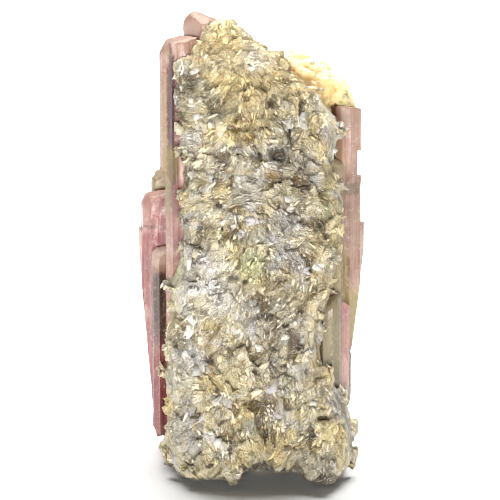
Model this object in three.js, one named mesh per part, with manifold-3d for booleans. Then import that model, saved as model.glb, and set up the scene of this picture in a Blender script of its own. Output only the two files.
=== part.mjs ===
// A hand specimen of pink tourmaline on its matrix, standing on its broken underside.
// Upright prisms grew side by side as a sheaf. A thick crust of mica and albite blades covers
// the near side of the sheaf and its foot, and a lump of albite sits on the shorter prisms at
// the far right. Millimetres, +Z up, +X to the right, +Y away from the crusted side.

import * as THREE from "three";
import { mergeVertices } from "three/addons/utils/BufferGeometryUtils.js";
import Module from "manifold-3d";

const wasm = await Module();
wasm.setup();

// ---------------------------------------------------------------- driving dimensions

const GAP = 0.32; // open joint between two neighbouring pieces
const FAR = 200; // reach of a cutting box, well past the specimen
const FLOOR = -1.6; // what the specimen stands on; heights are measured from the crust's near lip

// The prisms. x, y: axis in plan; reach: half the width across; from: height of the lower end;
// breaks: the flat breaks that end the prism, each [bearing, slope, height on the axis], and the
// prism is what lies inside them all (a slope over 90 undercuts a flank); foot: the slant of the
// lower end; ledges: steps in a flank, each [bearing, from height, to height, depth].
const PRISMS = [
  { name: "near_left", x: -10.6, y: -4.3, reach: 3.2, tint: "salmon", from: 1.5, foot: [90, 20],
    breaks: [[200, 10, 67], [185, 58, 69.7], [20, 20, 68.4]], ledges: [[180, 0, 46.8, 1]] },
  { name: "top_left", x: -6.6, y: -1.0, reach: 3.7, tint: "salmon", from: 0.4, foot: [0, 15],
    breaks: [[0, 24, 70.1], [180, 8, 70.9], [180, 45, 72.9], [270, 30, 71.2]] },
  { name: "left_dark", x: -13.2, y: -1.2, reach: 2.1, tint: "dark", from: 3.4, foot: [180, 38],
    breaks: [[250, 24, 33.6], [170, 60, 36.5]] },
  { name: "left_rear", x: -13.6, y: 4.0, reach: 4.0, tint: "rose", from: 3, foot: [20, 16],
    breaks: [[175, 12, 41.8], [185, 52, 44.2], [90, 25, 42.6], [180, 95, -10.6]],
    ledges: [[188, 35.9, 50, 0.7], [188, 0, 17, 0.6]] },
  { name: "left_back", x: -13.0, y: 9.7, reach: 2.7, tint: "olive", from: 3, foot: [200, 20],
    breaks: [[200, 30, 44.4], [20, 18, 45.2]] },
  { name: "inner_left", x: -8.2, y: 3.4, reach: 4.2, tint: "rose", from: -0.8, foot: [200, 8],
    breaks: [[150, 16, 62.4], [300, 24, 63]] },
  { name: "inner_front", x: -1.6, y: -1.6, reach: 4.2, tint: "salmon", from: 1, foot: [100, 14],
    breaks: [[0, 12, 65.2], [200, 40, 68]] },
  { name: "inner_middle", x: 2.6, y: -2.2, reach: 3.1, tint: "rose", from: 0.4, foot: [45, 10],
    breaks: [[10, 20, 61]] },
  { name: "inner_right", x: 7.7, y: -1.3, reach: 4.5, tint: "salmon", from: -0.2, foot: [300, 6],
    breaks: [[350, 24, 55.2]] },
  { name: "core_left", x: -3.0, y: 5.6, reach: 5.4, tint: "salmon", from: -1.1, foot: [0, 4],
    breaks: [[60, 10, 62.8], [250, 30, 64.2]] },
  { name: "core_middle", x: 2.9, y: 3.0, reach: 2.9, tint: "rose", from: -0.6, foot: [150, 20],
    breaks: [[30, 14, 59.2]] },
  { name: "core_right", x: 6.3, y: 6.9, reach: 4.2, tint: "rose", from: -0.9, foot: [250, 6],
    breaks: [[0, 10, 51.5]] },
  { name: "back_left", x: -8.6, y: 10.3, reach: 4.6, tint: "salmon", from: FLOOR,
    breaks: [[100, 13, 59.2], [250, 48, 62], [60, 55, 63]], ledges: [[100, 46, 70, 0.6]] },
  { name: "back_middle", x: -2.6, y: 12.2, reach: 2.6, tint: "rose", from: FLOOR,
    breaks: [[80, 22, 50.4], [20, 40, 53]] },
  { name: "back_inner", x: 1.5, y: 10.2, reach: 3.2, tint: "salmon", from: -0.8, foot: [270, 18],
    breaks: [[95, 26, 56.8]] },
  { name: "back_right", x: 5.9, y: 12.0, reach: 3.4, tint: "salmon", from: FLOOR,
    breaks: [[70, 16, 47.6], [110, 52, 50]], ledges: [[85, 0, 22, 0.6]] },
  { name: "back_sliver", x: 8.9, y: 13.7, reach: 2.0, tint: "rose", from: 0.4, foot: [90, 35],
    breaks: [[90, 40, 38]] },
  { name: "corner_right", x: 11.4, y: 10.7, reach: 3.5, tint: "olive", from: FLOOR,
    breaks: [[50, 20, 46.4], [330, 52, 49]] },
  { name: "side_right", x: 11.2, y: 5.0, reach: 3.0, tint: "rose", from: FLOOR,
    breaks: [[0, 14, 50.5]] },
  { name: "right_rear", x: 14.7, y: 6.5, reach: 3.5, tint: "salmon", from: 15.4, foot: [20, 30],
    breaks: [[60, 12, 54.9], [5, 55, 59], [0, 97, 2.4]],
    ledges: [[355, 36.2, 60, 0.5], [0, 43.6, 48.2, 1.1], [0, 0, 24.4, 0.7]] },
  { name: "right_olive", x: 12.5, y: 1.4, reach: 2.6, tint: "olive", from: 21.5, foot: [300, 30],
    breaks: [[330, 26, 47.4]] },
  { name: "right_glassy", x: 12.2, y: -4.8, reach: 2.2, tint: "glassy", from: 8.4, foot: [0, 0],
    breaks: [[200, 36, 26]] },
  { name: "right_pink", x: 13.9, y: -1.9, reach: 1.9, tint: "rose", from: 8.6, foot: [0, 0],
    breaks: [[10, 44, 26.4]] },
  { name: "right_sliver", x: 15.1, y: 0.9, reach: 1.15, tint: "glassy", from: 7.4, foot: [350, 30],
    breaks: [[0, 62, 18.4]] },
];
const LATTICE_TURN = 12; // degrees: all prisms share one crystal orientation
const SECTION_SIDES = 9; // flats round a prism
const SECTION_BULGE = 0.06; // the section is a rounded triangle
const FLUTE = 1.15; // pitch of the grooves along a flank
const FLUTE_DEPTH = 0.17;

// The crust. Its left and right edges, its near face, its two flanks and its back, as
// [height, position].
const LEFT_EDGE = [
  [-1.6, -10], [0, -12.4], [3, -13.6], [5, -13.9], [8, -12.8], [12, -13.3], [15, -13.8],
  [18, -13.4], [22, -13.8], [26, -12.9], [28, -12.3], [30, -13.1], [33, -11.5], [36, -10.9],
  [40, -10.8], [44, -10.9], [47, -11.4], [49, -10.5], [51, -11.5], [54, -11.1], [58, -11.7],
  [62, -11.9], [64.2, -11.6], [64.9, -10.6], [65.4, -8.8], [67.3, -8.1], [68.6, -7.5],
  [69.4, -6.8],
];
const RIGHT_EDGE = [
  [-1.6, 13.6], [0, 16.2], [3, 16.9], [6, 16.5], [8, 16.2], [10.5, 15.8], [12, 14.9], [15, 13.4],
  [18, 12.1], [20.5, 11.2], [23, 11.9], [25, 12.5], [27, 13.8], [31, 14], [34, 14.3],
  [36, 15.2], [40, 15.3], [43, 15.2], [45, 13.6], [47, 13], [49, 13.6], [52, 14.8],
  [54, 14.6], [56, 13.3], [58, 11.5], [60, 9.4], [62, 7.3], [64, 5.2], [66, 3.2],
  [68, 0.7], [69.6, -2.4],
];
const NEAR_FACE = [
  [0, -13.9], [12, -14.2], [30, -12.6], [50, -10.6], [60, -9], [66, -7.6], [70, -6],
];
const LEFT_FLANK = [[27, -3], [31.5, -8.1], [62, -8.1], [66, -7.2], [69.4, -6]];
const RIGHT_FLANK = [[45, -2.8], [58, -3.4], [64, -4.6], [69.4, -6.2]];
const BACK_FACE = [[45, -0.6], [58, -1.2], [64, -2.4], [69.4, -4]]; // between the prisms
const BLADE_ROOM = 0.55; // the crust's body stays this far inside its edges, where the blades stand
const CRUST_TOP = 69.3;
const SHOULDER = 62; // above it the crust narrows and its rings are closer
const LOWER_RINGS = 16;
const UPPER_RINGS = 5;
const CRUST_POINTS = 16; // points along one ring's near side
const BACK_POINTS = 5; // points along its back
const BACK_INSET = 0.08; // share of the width by which the back stays inside each edge
const CRUST_ROUNDING = [0.75, 0.5]; // how square a ring's near side is, across and forward
const LUMP_RISE = 0.7; // low lumps all over the crust

// Swells and hollows of the near face: [x, height, radius, rise].
const SWELLS = [
  [13.2, 3, 4.5, 4.4], [-2.4, 3, 4.5, 1.6], [-8, 4, 4, 0.8], [-6.5, 13, 4.5, 0.8],
  [0, 12, 2.4, -0.8], [6, 5.5, 2, -0.9], [4, 27, 6, 0.8], [-9, 20, 2.2, -0.6], [-6, 31, 4.5, 0.8],
  [11, 31, 4, 0.7], [3, 21.5, 2.2, -0.7], [0, 37, 4, 0.7], [10.5, 38.8, 2, -0.9], [-8, 45, 4, 0.9],
  [7, 44, 4, 0.8], [4.3, 50.3, 2.3, -1.2], [-6, 51.5, 3.5, 0.8], [10, 53, 3, 0.9],
  [-8.5, 60.5, 1.8, -0.7], [-4, 57, 2, -0.8], [2, 59, 4, 0.9], [-2.3, 67, 1.6, -0.6],
];
// Pits broken into the crust: [x, height, half width, half height, depth].
const PITS = [
  [4.3, 50, 1.3, 1.6, 1.8], [1.1, 49.8, 0.8, 0.8, 1], [10.6, 38.8, 0.9, 0.9, 1.2],
  [5.6, 24.4, 0.7, 0.7, 1.1], [0.9, 18.4, 1.0, 1.1, 1], [0.2, 12.1, 1.7, 0.9, 1.2],
  [6.1, 5.2, 1.6, 0.5, 1.1], [2.4, 7.2, 0.6, 1.2, 1], [-8.2, 11.4, 0.8, 1.1, 0.9],
  [11.4, 9.4, 1.3, 0.5, 1], [-5.2, 57.2, 0.9, 1.5, 0.9], [-2.3, 67.3, 0.8, 0.6, 0.8],
];
// The underside hangs over the floor: it rises from the floor under the prisms to a near lip
// with a low arch between two feet. The lip as [x, height].
const LIP = [
  [-20, 2.6], [-12.4, 2], [-10.6, 1.5], [-9.1, 0.6], [-7, 0.4], [-4.9, 0.8], [-3.6, 0.6],
  [-2.3, -0.2], [-1.4, 0.3], [-0.2, 2.2], [1.1, 3.1], [1.9, 3.1], [3.4, 2.5], [5.7, 2],
  [8.3, 2.4], [8.8, 1.4], [10.1, 0.6], [12.3, -0.3], [13.6, -0.3], [15, 0.8], [16.3, 1.8],
  [22, 2.6],
];
const LIP_AT = -15; // y of the lip
const STANDS_FROM = -2.8; // y at which the underside meets the floor

// The blades: small books of mica that stand on edge, two to a fan, in rows over the crust.
const FAN_PITCH = 5.8; // along a row
const ROW_PITCH = 4.75;
const FIRST_ROW = 1.6;
const LAST_ROW = 67;
const SIDE_GIRTH = 7; // length of a row round the crust's two sides
const FAN_SCATTER = 1.1; // up or down from its row
const BLADE_LENGTH = [1.5, 2.4]; // half length
const BLADE_WIDTH = [0.95, 1.35]; // half width
const BLADE_THICKNESS = [0.45, 0.7];
const BLADE_RISE = 0.1; // how far a blade's middle stands out of the crust
const FAN_STEP = 0.6; // half the distance between the two blades of a fan
const FAN_LEAN = [0.12, 0.45]; // radians

// The albite lump: middle, half sizes, how far its top slopes down to the right, its grains.
const LUMP_AT = [8.2, 8.3, 55.7];
const LUMP_HALF = [9.2, 5.7, 6.4];
const LUMP_SLOPE = 21; // degrees
const LUMP_SQUARENESS = 3.0;
const GRAINS = 18;

const TINTS = {
  salmon: { color: 0xd99aa0, roughness: 0.34 },
  rose: { color: 0xb9566a, roughness: 0.3 },
  dark: { color: 0x6d4a48, roughness: 0.26 },
  olive: { color: 0xa8975c, roughness: 0.36 },
  glassy: { color: 0x9b9f8c, roughness: 0.2 },
  crust: { color: 0xcdc4b0, roughness: 0.62 },
  albite: { color: 0xe6d8b4, roughness: 0.58 },
};

// ---------------------------------------------------------------- small helpers

function seededRandom(seed) {
  let state = seed;
  return (low = 0, high = 1) => {
    state = (state * 1664525 + 1013904223) % 4294967296;
    return low + (high - low) * (state / 4294967296);
  };
}

const radians = THREE.MathUtils.degToRad;
const UP = new THREE.Vector3(0, 0, 1);
const DOWN = new THREE.Vector3(0, 0, -1);

// Value at a height of a list of [height, value], straight between its points.
function at(list, height) {
  const last = list.length - 1;
  if (height <= list[0][0]) return list[0][1];
  if (height >= list[last][0]) return list[last][1];
  const upper = list.findIndex((entry) => entry[0] >= height);
  const [h0, v0] = list[upper - 1];
  const [h1, v1] = list[upper];
  return v0 + ((v1 - v0) * (height - h0)) / (h1 - h0);
}

// ---------------------------------------------------------------- joining and cutting

function solidFrom(geometry) {
  const bare = geometry.index ? geometry.toNonIndexed() : geometry.clone();
  bare.deleteAttribute("normal");
  bare.deleteAttribute("uv");
  const merged = mergeVertices(bare, 1e-4);
  const vertProperties = new Float32Array(merged.attributes.position.array);
  const triVerts = new Uint32Array(merged.index.array);
  return new wasm.Manifold(new wasm.Mesh({ numProp: 3, vertProperties, triVerts }));
}

function geometryFrom(solid) {
  const { vertProperties, triVerts } = solid.getMesh();
  const geometry = new THREE.BufferGeometry();
  geometry.setAttribute("position", new THREE.BufferAttribute(vertProperties, 3));
  geometry.setIndex(new THREE.BufferAttribute(triVerts, 1));
  geometry.computeVertexNormals();
  return geometry;
}

// Everything on the far side of a plane, as one large box.
function beyond(point, normal) {
  const turn = new THREE.Quaternion().setFromUnitVectors(new THREE.Vector3(0, 0, 1), normal);
  const box = new THREE.BoxGeometry(FAR, FAR, FAR);
  box.translate(0, 0, FAR / 2).applyQuaternion(turn).translate(point.x, point.y, point.z);
  return solidFrom(box);
}

const belowFloor = beyond(new THREE.Vector3(0, 0, FLOOR), DOWN);

// ---------------------------------------------------------------- prisms

function sectionOutline(prism, swell) {
  const outline = [];
  for (let side = 0; side < SECTION_SIDES; side += 1) {
    const angle = radians(LATTICE_TURN + (360 * side) / SECTION_SIDES);
    const rounding = 1 + SECTION_BULGE * Math.cos(3 * (angle - radians(LATTICE_TURN)));
    const radius = prism.reach * rounding + swell;
    outline.push(new THREE.Vector2(prism.x + radius * Math.cos(angle), prism.y + radius * Math.sin(angle)));
  }
  return outline;
}

// Keeps the part of a convex outline where point . normal is at most limit.
function clipOutline(outline, normal, limit) {
  const kept = [];
  outline.forEach((start, index) => {
    const end = outline[(index + 1) % outline.length];
    const startOver = start.dot(normal) - limit;
    const endOver = end.dot(normal) - limit;
    if (startOver <= 0) kept.push(start);
    if (startOver * endOver < 0) kept.push(start.clone().lerp(end, startOver / (startOver - endOver)));
  });
  return kept;
}

// The prism's own ground: its section, cut back to the boundary that it shares with each
// neighbour. swell is 0 for the prism and GAP for the pocket that holds it.
function ground(prism, swell) {
  let outline = sectionOutline(prism, swell);
  for (const other of PRISMS) {
    if (other === prism) continue;
    const normal = new THREE.Vector2(other.x - prism.x, other.y - prism.y);
    const distance = normal.length();
    normal.divideScalar(distance);
    const share = (distance ** 2 + prism.reach ** 2 - other.reach ** 2) / (2 * distance);
    const limit = normal.x * prism.x + normal.y * prism.y + share - GAP / 2 + swell;
    outline = clipOutline(outline, normal, limit);
  }
  return outline;
}

// Cuts lengthwise grooves into the flanks: every second point of an edge lies deeper.
function fluted(outline) {
  const points = [];
  outline.forEach((start, index) => {
    const end = outline[(index + 1) % outline.length];
    const edge = end.clone().sub(start);
    const inward = new THREE.Vector2(-edge.y, edge.x).normalize();
    const steps = 2 * Math.round(edge.length() / FLUTE / 2);
    points.push(start);
    for (let step = 1; step < steps; step += 1) {
      const depth = step % 2 ? FLUTE_DEPTH : 0;
      points.push(start.clone().addScaledVector(edge, step / steps).addScaledVector(inward, depth));
    }
  });
  return points;
}

function bearingVector(bearing, slope) {
  const tilt = radians(slope);
  const turn = radians(bearing);
  const out = Math.sin(tilt);
  return new THREE.Vector3(out * Math.cos(turn), out * Math.sin(turn), Math.cos(tilt));
}

// The prism, or with swell the pocket that it stands in.
function prismSolid(prism, swell = 0) {
  const outline = swell ? ground(prism, swell) : fluted(ground(prism, swell));
  const top = Math.max(...prism.breaks.map((cut) => cut[2])) + prism.reach;
  const low = prism.foot ? prism.from - prism.reach - swell : prism.from - swell;
  const profile = new THREE.Shape(outline);
  const shaft = new THREE.ExtrudeGeometry(profile, { depth: top - low, bevelEnabled: false });
  let solid = solidFrom(shaft.translate(0, 0, low));
  const cuts = prism.breaks.map(([bearing, slope, height]) => [bearingVector(bearing, slope), height]);
  if (prism.foot) {
    const downward = new THREE.Vector3(1, 1, -1);
    cuts.push([bearingVector(...prism.foot).multiply(downward), prism.from]);
  }
  for (const [normal, height] of cuts) {
    const point = new THREE.Vector3(prism.x, prism.y, height).addScaledVector(normal, swell);
    solid = solid.subtract(beyond(point, normal));
  }
  return swell ? solid : solid.subtract(belowFloor).subtract(ledgeCuts(prism));
}

// What the ledges of a prism take off its flanks.
function ledgeCuts(prism) {
  const cuts = (prism.ledges ?? []).map(([bearing, low, high, depth]) => {
    const side = bearingVector(bearing, 90);
    const lower = new THREE.Vector3(prism.x, prism.y, low).addScaledVector(side, prism.reach - depth);
    const upper = lower.clone().setZ(high);
    return beyond(lower, side).intersect(beyond(lower, UP)).intersect(beyond(upper, DOWN));
  });
  return wasm.Manifold.union(cuts);
}

// ---------------------------------------------------------------- crust

// Low lumps: three waves of unrelated lengths, between -1 and 1.
function lumps(x, y, z) {
  const slow = Math.sin(0.62 * x + 1.7 * Math.sin(0.31 * z)) * Math.cos(0.47 * z + 0.4 * y);
  const middle = Math.sin(1.13 * x - 0.71 * z + 2.1) * Math.cos(0.83 * z + 0.6 * x);
  const fast = Math.sin(1.9 * x + 1.2 * z) * Math.sin(1.6 * z - 0.9 * x + 1);
  return 0.5 * slow + 0.3 * middle + 0.2 * fast;
}

function swellAt(x, z) {
  let rise = 0;
  for (const [cx, cz, radius, height] of SWELLS) {
    const away = ((x - cx) ** 2 + (z - cz) ** 2) / radius ** 2;
    rise += height * Math.exp(-away);
  }
  return rise;
}

function crustSides(z) {
  return [at(LEFT_EDGE, z) + BLADE_ROOM, at(RIGHT_EDGE, z) - BLADE_ROOM];
}

// A point of the crust's near side. turn runs from 0 at the left edge to 1 at the right edge.
function crustPoint(turn, z) {
  const [left, right] = crustSides(z);
  const angle = Math.PI * turn;
  const across = -Math.sign(Math.cos(angle)) * Math.abs(Math.cos(angle)) ** CRUST_ROUNDING[0];
  const forward = Math.sin(angle) ** CRUST_ROUNDING[1];
  const x = (left + right) / 2 + (across * (right - left)) / 2;
  const near = at(NEAR_FACE, z) - swellAt(x, z) - LUMP_RISE * lumps(x, 0, z);
  const flank = at(turn < 0.5 ? LEFT_FLANK : RIGHT_FLANK, z);
  return new THREE.Vector3(x, flank + (near - flank) * forward, z);
}

// A point of its back, which is low and uneven. turn runs from 0 at the right to 1 at the left.
function backPoint(turn, z) {
  const [left, right] = crustSides(z);
  const x = right + (left - right) * (BACK_INSET + (1 - 2 * BACK_INSET) * turn);
  return new THREE.Vector3(x, at(BACK_FACE, z) + LUMP_RISE * lumps(x, 9, z), z);
}

function crustNormal(turn, z) {
  const step = 0.02;
  const along = crustPoint(Math.min(turn + step, 1), z).sub(crustPoint(Math.max(turn - step, 0), z));
  const up = crustPoint(turn, z + 0.6).sub(crustPoint(turn, z - 0.6));
  return along.cross(up).normalize();
}

// Heights of the crust's rings, from just under the floor to its top.
function ringHeights() {
  const lowest = FLOOR - 1;
  const heights = [];
  for (let ring = 0; ring < LOWER_RINGS; ring += 1) {
    heights.push(lowest + ((SHOULDER - lowest) * ring) / LOWER_RINGS);
  }
  for (let ring = 0; ring <= UPPER_RINGS; ring += 1) {
    heights.push(SHOULDER + ((CRUST_TOP - SHOULDER) * ring) / UPPER_RINGS);
  }
  return heights;
}

// The crust's body: closed rings of points, one above another.
function crustBody() {
  const positions = [];
  const ringSize = CRUST_POINTS + BACK_POINTS;
  const heights = ringHeights();
  const last = heights.length - 1;
  for (const z of heights) {
    for (let point = 0; point < CRUST_POINTS; point += 1) {
      positions.push(...crustPoint(point / (CRUST_POINTS - 1), z).toArray());
    }
    for (let point = 0; point < BACK_POINTS; point += 1) {
      positions.push(...backPoint(point / (BACK_POINTS - 1), z).toArray());
    }
  }
  const faces = [];
  for (let ring = 0; ring < last; ring += 1) {
    for (let point = 0; point < ringSize; point += 1) {
      const a = ring * ringSize + point;
      const b = ring * ringSize + ((point + 1) % ringSize);
      faces.push(a, b, b + ringSize, a, b + ringSize, a + ringSize);
    }
  }
  for (const ring of [0, last]) {
    const first = ring * ringSize;
    const rim = [];
    for (let point = first; point < first + ringSize; point += 1) {
      rim.push(new THREE.Vector2(positions[3 * point], positions[3 * point + 1]));
    }
    for (const [a, b, c] of THREE.ShapeUtils.triangulateShape(rim, [])) {
      faces.push(...(ring ? [a, b, c] : [a, c, b]).map((corner) => corner + first));
    }
  }
  const geometry = new THREE.BufferGeometry();
  geometry.setAttribute("position", new THREE.Float32BufferAttribute(positions, 3));
  geometry.setIndex(faces);
  return solidFrom(geometry);
}

function bladeShape(random) {
  const length = random(...BLADE_LENGTH);
  const width = random(...BLADE_WIDTH);
  const shape = new THREE.Shape();
  shape.moveTo(-length, -0.9 * width);
  for (const [along, out] of [[1, -0.9], [0.7, 1], [-0.55, 0.9]]) {
    shape.lineTo(along * length, out * width);
  }
  return shape;
}

// One blade that stands on edge: its long side lies along the crust, its width points outwards.
// side is -1 or 1: the two blades of a fan stand a little apart and lean away from each other.
function blade(random, point, normal, lie, side) {
  const thickness = random(...BLADE_THICKNESS);
  const geometry = new THREE.ExtrudeGeometry(bladeShape(random), { depth: thickness, bevelEnabled: false });
  geometry.translate(0, 0, -thickness / 2);
  const along = UP.clone().cross(normal).normalize().applyAxisAngle(normal, lie);
  const face = along.clone().cross(normal).applyAxisAngle(along, side * random(...FAN_LEAN));
  const outward = face.clone().cross(along);
  const turn = new THREE.Matrix4().makeBasis(along, outward, face);
  const place = point.clone().addScaledVector(normal, BLADE_RISE).addScaledVector(face, side * FAN_STEP);
  return solidFrom(geometry.applyMatrix4(turn).translate(place.x, place.y, place.z));
}

function crustBlades(random) {
  const blades = [];
  for (let z = FIRST_ROW; z < LAST_ROW; z += ROW_PITCH) {
    const [left, right] = crustSides(z);
    const count = Math.max(2, Math.round((right - left + SIDE_GIRTH) / FAN_PITCH));
    for (let column = 0; column < count; column += 1) {
      const turn = THREE.MathUtils.clamp((column + random(0.15, 0.85)) / count, 0.02, 0.98);
      const height = THREE.MathUtils.clamp(z + random(-FAN_SCATTER, FAN_SCATTER), FIRST_ROW, LAST_ROW);
      const lie = random(0, Math.PI);
      for (const side of [-1, 1]) {
        const turned = lie + random(-0.12, 0.12);
        blades.push(blade(random, crustPoint(turn, height), crustNormal(turn, height), turned, side));
      }
    }
  }
  return blades;
}

function pitSolid([x, z, halfWidth, halfHeight, depth], random) {
  const hollow = new THREE.IcosahedronGeometry(1, 0);
  hollow.rotateX(random(0, 3)).rotateY(random(0, 3)).scale(halfWidth, depth, halfHeight);
  const turn = THREE.MathUtils.clamp(nearestTurn(x, z), 0.05, 0.95);
  return solidFrom(hollow.translate(x, crustPoint(turn, z).y, z));
}

// The turn at which the crust's near side has a given x.
function nearestTurn(x, z) {
  let best = 0;
  for (let turn = 0; turn <= 1; turn += 0.01) {
    if (Math.abs(crustPoint(turn, z).x - x) < Math.abs(crustPoint(best, z).x - x)) best = turn;
  }
  return best;
}

// What the overhanging underside leaves open: everything below a slope that climbs from the
// floor to the lip and on past it. Each section across it has four corners.
function undercutSolid() {
  const positions = [];
  const depth = LIP_AT - STANDS_FROM;
  for (const [x, height] of LIP) {
    const past = FLOOR + 2 * (height - FLOOR);
    positions.push(x, STANDS_FROM, FLOOR, x, STANDS_FROM + 2 * depth, past);
    positions.push(x, STANDS_FROM + 2 * depth, FLOOR - 2, x, STANDS_FROM, FLOOR - 2);
  }
  const faces = [];
  for (let first = 0; first < 4 * (LIP.length - 1); first += 4) {
    for (let corner = 0; corner < 4; corner += 1) {
      const a = first + corner;
      const b = first + ((corner + 1) % 4);
      faces.push(a, b, b + 4, a, b + 4, a + 4);
    }
  }
  const end = 4 * (LIP.length - 1);
  faces.push(0, 2, 1, 0, 3, 2, end, end + 1, end + 2, end, end + 2, end + 3);
  const geometry = new THREE.BufferGeometry();
  geometry.setAttribute("position", new THREE.Float32BufferAttribute(positions, 3));
  geometry.setIndex(faces);
  return solidFrom(geometry);
}

function crustSolid(pockets) {
  const random = seededRandom(7);
  let solid = wasm.Manifold.union([crustBody(), ...crustBlades(random)]);
  const hollows = PITS.map((pit) => pitSolid(pit, random));
  solid = solid.subtract(wasm.Manifold.union([...hollows, undercutSolid(), belowFloor, ...pockets]));
  return largest(solid);
}

// Cutting can leave loose crumbs behind the prisms; the piece is the one large body.
function largest(solid) {
  const bodies = solid.decompose();
  return bodies.reduce((best, body) => (body.volume() > best.volume() ? body : best));
}

// ---------------------------------------------------------------- albite lump

// A point of the lump's surface, in the direction out: a worn block with low waves.
function lumpPoint(out) {
  const power = LUMP_SQUARENESS;
  const spread = Math.abs(out.x) ** power + Math.abs(out.y) ** power + Math.abs(out.z) ** power;
  const wave = 0.05 * Math.sin(5 * out.x + 2 * out.z) + 0.04 * Math.sin(7 * out.z - 4 * out.y);
  const point = out.clone().multiplyScalar(spread ** (-1 / power) * (0.92 + wave));
  return point.multiply(new THREE.Vector3(...LUMP_HALF));
}

function albiteSolid(pockets) {
  const random = seededRandom(21);
  const ball = new THREE.IcosahedronGeometry(1, 3);
  const corners = ball.attributes.position;
  for (let index = 0; index < corners.count; index += 1) {
    const out = new THREE.Vector3().fromBufferAttribute(corners, index).normalize();
    corners.setXYZ(index, ...lumpPoint(out).toArray());
  }
  const solids = [solidFrom(ball)];
  for (let grain = 0; grain < GRAINS; grain += 1) {
    const lift = Math.asin(random(-0.4, 1));
    const bearing = random(0, 2 * Math.PI);
    const out = new THREE.Vector3(Math.cos(lift), 0, Math.sin(lift)).applyAxisAngle(UP, bearing);
    const block = new THREE.BoxGeometry(random(1.4, 3), random(1, 2), random(0.8, 1.6));
    const place = lumpPoint(out);
    block.rotateX(random(0, 3)).rotateZ(random(0, 3)).translate(place.x, place.y, place.z);
    solids.push(solidFrom(block));
  }
  const whole = wasm.Manifold.union(solids).rotate([0, LUMP_SLOPE, 0]).translate(LUMP_AT);
  return largest(whole.subtract(wasm.Manifold.union(pockets)));
}

// ---------------------------------------------------------------- the specimen

function piece(name, solid, tint) {
  const material = new THREE.MeshStandardMaterial({ ...TINTS[tint], metalness: 0, flatShading: true });
  const mesh = new THREE.Mesh(geometryFrom(solid), material);
  mesh.name = name;
  return mesh;
}

const specimen = new THREE.Group();
const pockets = PRISMS.map((prism) => prismSolid(prism, GAP));
specimen.add(piece("mica_crust", crustSolid(pockets), "crust"));
specimen.add(piece("albite_lump", albiteSolid(pockets), "albite"));
for (const prism of PRISMS) {
  specimen.add(piece(`tourmaline_${prism.name}`, prismSolid(prism), prism.tint));
}

// The origin goes to the middle of the underside.
const box = new THREE.Box3().setFromObject(specimen);
const middle = box.getCenter(new THREE.Vector3());
specimen.position.set(-middle.x, -middle.y, -box.min.z);

export default specimen;
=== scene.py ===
"""Dresses the solids of a tourmaline specimen: pink prisms in a sheaf, a crust of mica books that
coats their near side, and a lump of sugary albite. Lengths in the lists below are millimetres."""

import math
from typing import NamedTuple

import bpy
import numpy as np
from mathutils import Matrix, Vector
from mathutils.kdtree import KDTree


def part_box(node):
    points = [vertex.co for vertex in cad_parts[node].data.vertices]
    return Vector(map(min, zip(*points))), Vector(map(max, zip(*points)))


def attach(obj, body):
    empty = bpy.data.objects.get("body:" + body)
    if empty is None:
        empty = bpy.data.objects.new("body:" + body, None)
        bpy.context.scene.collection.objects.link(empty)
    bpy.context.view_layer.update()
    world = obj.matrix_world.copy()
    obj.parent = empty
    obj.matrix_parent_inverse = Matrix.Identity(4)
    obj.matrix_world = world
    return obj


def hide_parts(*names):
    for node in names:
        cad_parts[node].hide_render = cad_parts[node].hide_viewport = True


bl_info = {
    "name": "Tourmaline specimen",
    "version": (1, 0, 0),
    "blender": (4, 5, 0),
    "location": "3D View > Sidebar > Specimen",
    "description": "Makes the crystals, the mica crust and the albite of a tourmaline specimen",
    "category": "Add Mesh",
}

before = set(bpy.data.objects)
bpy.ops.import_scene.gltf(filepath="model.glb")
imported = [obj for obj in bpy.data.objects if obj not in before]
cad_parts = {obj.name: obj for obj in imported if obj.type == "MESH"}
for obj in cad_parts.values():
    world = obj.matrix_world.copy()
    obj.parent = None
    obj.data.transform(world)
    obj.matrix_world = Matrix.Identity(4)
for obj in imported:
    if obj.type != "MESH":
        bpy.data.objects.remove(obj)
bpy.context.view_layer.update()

MM = 0.001
BRIGHTEST = 0.96  # the most that any channel of a mineral's colour reaches


def linear(red, green, blue):
    """A display colour of 0 to 255 a channel as the linear colour that shaders take."""
    shares = (value / 255 for value in (red, green, blue))
    return tuple(s / 12.92 if s <= 0.04045 else ((s + 0.055) / 1.055) ** 2.4 for s in shares)


# ---------------------------------------------------------------- settings


def length_setting(label, text, value):
    return bpy.props.FloatProperty(
        name=label, description=text, default=value * MM, min=0, precision=5,
        subtype="DISTANCE", unit="LENGTH",
    )


def number_setting(label, text, value, least=0.0):
    return bpy.props.FloatProperty(name=label, description=text, default=value, min=least)


def colour_setting(label, text, *display):
    return bpy.props.FloatVectorProperty(
        name=label, description=text, default=linear(*display), min=0, max=1, subtype="COLOR",
    )


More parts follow.
